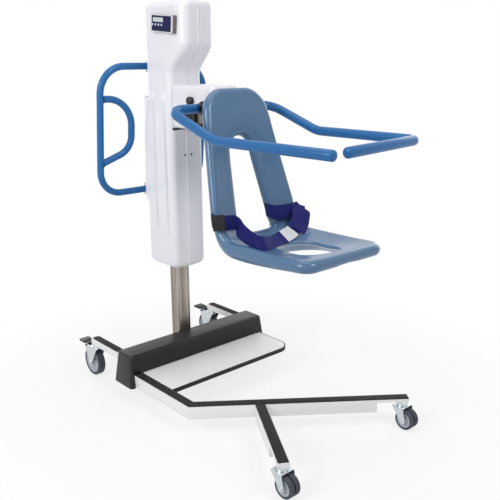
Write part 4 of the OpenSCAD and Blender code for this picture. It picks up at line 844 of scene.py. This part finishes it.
stand = stand @ Matrix.Rotation(buckle_turn, 4, "Z") @ Matrix.Rotation(buckle_tilt, 4, "Y")
place("ladder_buckle", blocks("ladder_buckle", bars, 0.0009, stand), black_plastic, "belt_buckle")

# Push handles: bent steel tube, powder coated blue, with a second tube bent round inside each as a
# grip and welded on; both are held in white blocks behind the housing.
blue_coat = finish(
    "blue_powder_coat", tint(42, 107, 168), 0.34, patch=8, grain=420, depth=0.00003,
    Specular_IOR_Level=0.12, Coat_Weight=0.22, Coat_Roughness=0.05,
)


def bent_line(points, bends, steps=14):
    """Places and directions along a line through corner points, rounded at each inner corner."""
    points = [Vector(p) for p in points]
    ways = [(b - a).normalized() for a, b in zip(points, points[1:])]
    made = [(points[0], ways[0])]
    for p, d1, d2, r in zip(points[1:], ways, ways[1:], bends):
        turn = acos(max(-1, min(1, d1.dot(d2))))
        centre = p + (d2 - d1).normalized()*r/cos(turn/2)
        u = (p - d1*r*tan(turn/2) - centre).normalized()
        for k in range(steps + 1):
            a = turn*k/steps
            made.append((centre + u*r*cos(a) + d1*r*sin(a), d1*cos(a) - u*sin(a)))
    return made + [(points[-1], ways[-1])]


def pipe(line, radius, dome=0, weld=0, sides=32):
    """A round bar along a line, flat or domed at its end, and wider where it is welded on."""
    rings = [(p, d, radius) for p, d in line]
    (start, ahead), (stop, onward) = line[0], line[-1]
    if weld:
        fade = 0.005
        fillet = [(t, radius*(1 + weld*exp(-t/fade))) for t in (0.0, 0.004, 0.008, 0.013, 0.02)]
        rings[:1] = [(start + ahead*t, ahead, r) for t, r in fillet]
        rings[-1:] = [(stop - onward*t, onward, r) for t, r in fillet[::-1]]
    if dome:
        for a in (15, 30, 45, 60, 72, 82):
            rings.append((stop + onward*radius*dome*sin(radians(a)), onward, radius*cos(radians(a))))
    verts, up = [], Vector((0, 0, 1))
    for p, d, r in rings:
        up = (up - d*up.dot(d)).normalized()
        over = d.cross(up)
        verts += [p + (up*cos(2*pi*k/sides) + over*sin(2*pi*k/sides))*r for k in range(sides)]
    return verts, closed(len(rings), sides)


handle_r, handle_x, handle_drop, handle_in = 0.014, 0.256, 0.514, 0.0006
handle_back, handle_top, handle_lean = 0.125, 1.311, radians(5.9)
grip_x, grip_top, grip_foot, grip_low = 0.145 - handle_x, -0.126, -0.335, -0.384
weld_top, weld_low, weld_flare = -handle_x + 0.012, -handle_x + 0.008, 0.16
handle_bends, grip_bends = (0.105, 0.095), (0.112, 0.081)
handle_corners = [(-handle_in, 0), (-handle_x, 0), (-handle_x, -handle_drop), (-handle_in, -handle_drop)]
grip_corners = [(weld_top, grip_top), (grip_x, grip_top), (grip_x, grip_foot), (weld_low, grip_low)]
outer = bent_line([(x, 0, z) for x, z in handle_corners], handle_bends)
grip = bent_line([(x, 0, z) for x, z in grip_corners], grip_bends)
for side, sign in (("left", -1), ("right", 1)):
    stand = (
        Matrix.Translation((axis_x, axis_y + handle_back, handle_top)) @ Matrix.Rotation(handle_lean, 4, "X")
        @ Matrix.Diagonal((-sign, 1, 1, 1))
    )
    verts, faces = pipe(outer, handle_r)
    more, quads = pipe(grip, handle_r, weld=weld_flare)
    faces += [[i + len(verts) for i in q] for q in quads]
    mesh = mesh_of(f"push_handle_{side}", verts + more, faces)
    mesh.transform(stand)
    if sign > 0:
        mesh.flip_normals()
    place(f"push_handle_{side}", mesh, blue_coat, f"handle_{side}", sharp=50)
softened("handle_blocks", "handle_clamp", 0.003, gloss_white)

# Safety arms: steel bar in a thick blue sleeve with domed ends, turning on spigots in the pivot
# blocks; the right arm closes the front with a cross-bar.
sleeve_blue = finish(
    "blue_arm_sleeve", tint(38, 103, 162), 0.36, patch=8, grain=520, depth=0.00003,
    Specular_IOR_Level=0.12, Coat_Weight=0.30, Coat_Roughness=0.10,
)
arm_r, arm_x, arm_in, level = 0.017, 0.245, 0.1242, 1.078
pivot_y, pivot_z, slope_end, left_end = -0.305, 1.164, -0.555, -1.066
bar_y, bar_past, skew = -0.994, 0.165, radians(8)
pivot_bend, slope_bend, bar_bend = 0.062, 0.160, 0.034
root_shade_places, root_shade_r = (0.0985, 0.1000, 0.1225, 0.1240), arm_r + 0.0006
spigot_places, spigot_r = (0.058, 0.060, 0.110), 0.0129
corner = Vector((arm_x, bar_y, level))
for side, sign in (("left", -1), ("right", 1)):
    points = [(arm_in, pivot_y, pivot_z), (arm_x, pivot_y, pivot_z), (arm_x, slope_end, level)]
    bends = [pivot_bend, slope_bend]
    if side == "left":
        points += [(arm_x, left_end, level)]
    else:
        points += [corner, corner + (arm_x + bar_past)/cos(skew)*Vector((-cos(skew), -sin(skew), 0))]
        bends += [bar_bend]
    line = [
        (Vector((sign*p.x + axis_x, p.y + axis_y, p.z)), Vector((sign*d.x, d.y, d.z)))
        for p, d in bent_line(points, bends)
    ]
    mesh = mesh_of(f"arm_sleeve_{side}", *pipe(line, arm_r, dome=0.45))
    place(f"arm_sleeve_{side}", mesh, sleeve_blue, f"arm_{side}", sharp=50)
    # Each arm's root gets a black ring beside its pivot block: painted shade where the arm runs in by the
    # seat; the zinc spigots turn in the blocks.
    for name, places, r, material in (
        (f"arm_root_shade_ring_{side}", root_shade_places, root_shade_r, black_plastic),
        (f"arm_spigot_{side}", spigot_places, spigot_r, zinc),
    ):
        line = [(Vector((axis_x + sign*x, axis_y + pivot_y, pivot_z)), Vector((sign, 0, 0))) for x in places]
        place(name, mesh_of(name, *pipe(line, r)), material, f"arm_{side}", body=f"arm_{side}")

# Control unit: flat moulded case screwed to the side of the head, with a pale plastic frame, a navy
# membrane, a display pane and four small keys.
# The case body is coloured dark brown-grey: painted shade on its sides, round the pale frame.
case_shade_colour = finish("case_brown_grey", tint(112, 100, 98), 0.5, spread=0.05, patch=30, grain=600, depth=0.0001)
softened("control_case", "display_case", 0.0015, case_shade_colour)
case_low, case_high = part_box("display_case")
case_at = Vector((case_low.x, (case_low.y + case_high.y)/2, (case_low.z + case_high.z)/2))
case_turn = Matrix.Rotation(radians(5), 3, "X")


def plate(name, width, height, r, x0, x1, cuts, material):
    """A flat plate on the control unit, with round corners and cut-outs for the pane and keys."""
    loop = rounded(-width/2, width/2, -height/2, height/2, r)
    rings, points = [], []
    for line in [loop] + cuts:
        first = len(points)
        points += [Vector(p) for p in line]
        rings += [(first + i, first + (i + 1) % len(line)) for i in range(len(line))]
    flat, _, spans = delaunay_2d_cdt(points, rings, [], 0, merge_gap, True)[:3]
    front = []
    for f in spans:
        y, z = sum(flat[i].x for i in f)/3, sum(flat[i].y for i in f)/3
        if inside(y, z, loop) and not any(inside(y, z, cut) for cut in cuts):
            front.append(list(f))
    lower = [case_at + case_turn @ Vector((x0, p.x, p.y)) for p in flat]
    count, edges = len(lower), [(f[k - 1], f[k]) for f in front for k in range(len(f))]
    faces = front + [[i + count for i in f[::-1]] for f in front]
    faces += [[a, a + count, b + count, b] for a, b in edges if (b, a) not in edges]
    mesh = faced_out(mesh_of(name, lower + [p + Vector((x1 - x0, 0, 0)) for p in lower], faces))
    return place(name, mesh, material, "display_case", body="carriage")


pane_y, pane_z, pane_half, pane_high = 0.022, 0.013, 0.034, 0.008
key_places, key_z, key_r = (0.055, 0.036, 0.017, -0.002), -0.005, 0.0050
pane_cut = [(pane_y + a*pane_half, pane_z + b*pane_high) for a, b in ((1, 1), (-1, 1), (-1, -1), (1, -1))]
cuts = [pane_cut]
for y in key_places:
    cuts.append([(y + key_r*cos(radians(a)), key_z + key_r*sin(radians(a))) for a in range(0, 360, 20)])
frame_plastic = finish(
    "pale_frame", tint(222, 222, 226), 0.35, spread=0.02, patch=30, grain=600, depth=0.0001
)
navy = finish(
    "navy_membrane", tint(12, 13, 70), 0.40, spread=0.06, patch=40, depth=0.00008,
    Specular_IOR_Level=0.15,
)
frame_out, membrane_out = -0.0012, -0.0017
plate("control_frame", 0.143, 0.063, 0.004, 0.0002, frame_out, cuts, frame_plastic)
plate("control_membrane", 0.124, 0.056, 0.002, frame_out, membrane_out, cuts, navy)
pane = finish(
    "display_glass", tint(196, 208, 206), 0.12, patch=60, grain=300, depth=0.00002,
    Coat_Weight=0.5,
)
softened("display_pane", "display_window", 0.0003, pane)
key_grey = finish("pale_keys", tint(214, 216, 232), 0.4, patch=80, depth=0.0001)
for i in range(1, 5):
    softened(f"key_{i}", f"button_{i}", 0.0006, key_grey)

# Housing screws: steel screws beside the joint strip that hold the shells to the frame, with black
# pan heads above and white caps at the foot.
caps_below = neck_z/2
screws = softened("seam_screws", "housing_screws", 0.0006, black_plastic)
screws.data.materials.append(gloss_white)
for face in screws.data.polygons:
    face.material_index = int(face.center.z < caps_below)

# Castors: zinc plated pressed steel heads and forks, grey plastic wheel centres and grey rubber
# tyres; twin wheels in front, single wheels with black brake pedals at the rear.
softened("swivel_bearings", "castor_heads", 0.0012, zinc)
tyre_grey = finish(
    "grey_rubber_tyre", tint(70, 74, 84), 0.62, spread=0.08, patch=40, grain=600, depth=0.00025,
    Specular_IOR_Level=0.35,
)
hub_grey = finish(
    "grey_wheel_centre", tint(172, 176, 186), 0.4, spread=0.04, patch=40, grain=700, depth=0.0001
)
axle_r, tread_dip, tread_groove, fit_gap = 0.0056, 0.0008, 0.0010, 0.0002


def revolved(name, profiles, centre, material, node, sides=72):
    """Closed profiles of places along X and radii, turned about the wheel's axis."""
    verts, faces = [], []
    for profile in profiles:
        first, count = len(verts), len(profile)
        for k in range(sides):
            a = 2*pi*k/sides
            verts += [centre + Vector((x, r*cos(a), r*sin(a))) for x, r in profile]
            here, ahead = first + k*count, first + (k + 1) % sides*count
            for i in range(count):
                j = (i + 1) % count
                faces.append([here + i, here + j, ahead + j, ahead + i])
    return place(name, faced_out(mesh_of(name, verts, faces)), material, node, sharp=32)


for corner_name, tyres, tyre_w, gap, rim_share in (
    ("front_left", "tyres", 0.019, 0.006, 0.75), ("front_right", "tyres", 0.019, 0.006, 0.75),
    ("rear_left", "tyre", 0.033, 0, 0.79), ("rear_right", "tyre", 0.033, 0, 0.79),
):
    softened(f"{corner_name}_fork_plate", f"{corner_name}_fork", 0.0004, zinc)
    low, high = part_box(f"{corner_name}_{tyres}")
    hub_low, hub_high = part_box(f"{corner_name}_hub")
    wheel_r = (high.z - low.z)/2
    rim_r, boss, half = wheel_r*rim_share, (hub_high.x - hub_low.x)/2, tyre_w/2
    bead = wheel_r - rim_r
    profile = [(half*0.90, rim_r + fit_gap), (half*0.98, rim_r + bead*0.25), (half, rim_r + bead*0.5)]
    for a in range(0, 91, 15):
        shoulder = wheel_r - half*0.42*(1 - sin(radians(a)))
        profile.append((half*(1 - 0.30*(1 - cos(radians(a)))), shoulder))
    profile += [
        (half*0.66, wheel_r), (half*0.20, wheel_r),
        (half*0.14, wheel_r - tread_dip), (0, wheel_r - tread_groove),
    ]
    treads, centres = [], []
    for m in (-(tyre_w + gap)/2, (tyre_w + gap)/2) if gap else (0,):
        treads.append([(m + x, r) for x, r in profile] + [(m - x, r) for x, r in profile[-2::-1]])
        if gap:
            reach, inward = boss - abs(m), half + gap/2 - fit_gap
            out = [
                (reach, axle_r), (reach, 0.0105), (half*0.7, 0.0118),
                (half*0.42, 0.0135), (half*0.42, rim_r*0.62),
            ]
            back = [(inward, axle_r), (inward, 0.0105), (half*0.42, 0.0125), (half*0.42, rim_r*0.6)]
            rise = [
                (half*0.56, rim_r*0.68), (half*0.80, rim_r*0.80), (half*0.90, rim_r*0.90), (half*0.90, rim_r),
            ]
            right, left = (out + rise, back + rise) if m > 0 else (back + rise, out + rise)
        else:
            right = left = [
                (boss, axle_r), (boss, 0.0108), (half*0.62, 0.0130), (half*0.36, 0.0160),
                (half*0.30, rim_r*0.52), (half*0.40, rim_r*0.58), (half*0.40, rim_r*0.66),
                (half*0.56, rim_r*0.78), (half*0.86, rim_r*0.88), (half*0.90, rim_r),
            ]
        centres.append([(m + x, r) for x, r in right] + [(m - x, r) for x, r in left[::-1]])
    revolved(f"{corner_name}_rubber", treads, (low + high)/2, tyre_grey, f"{corner_name}_{tyres}")
    revolved(f"{corner_name}_wheel_centre", centres, (low + high)/2, hub_grey, f"{corner_name}_hub")
for side in ("left", "right"):
    softened(f"brake_pedal_{side}", f"rear_{side}_pedal", 0.0018, black_plastic)
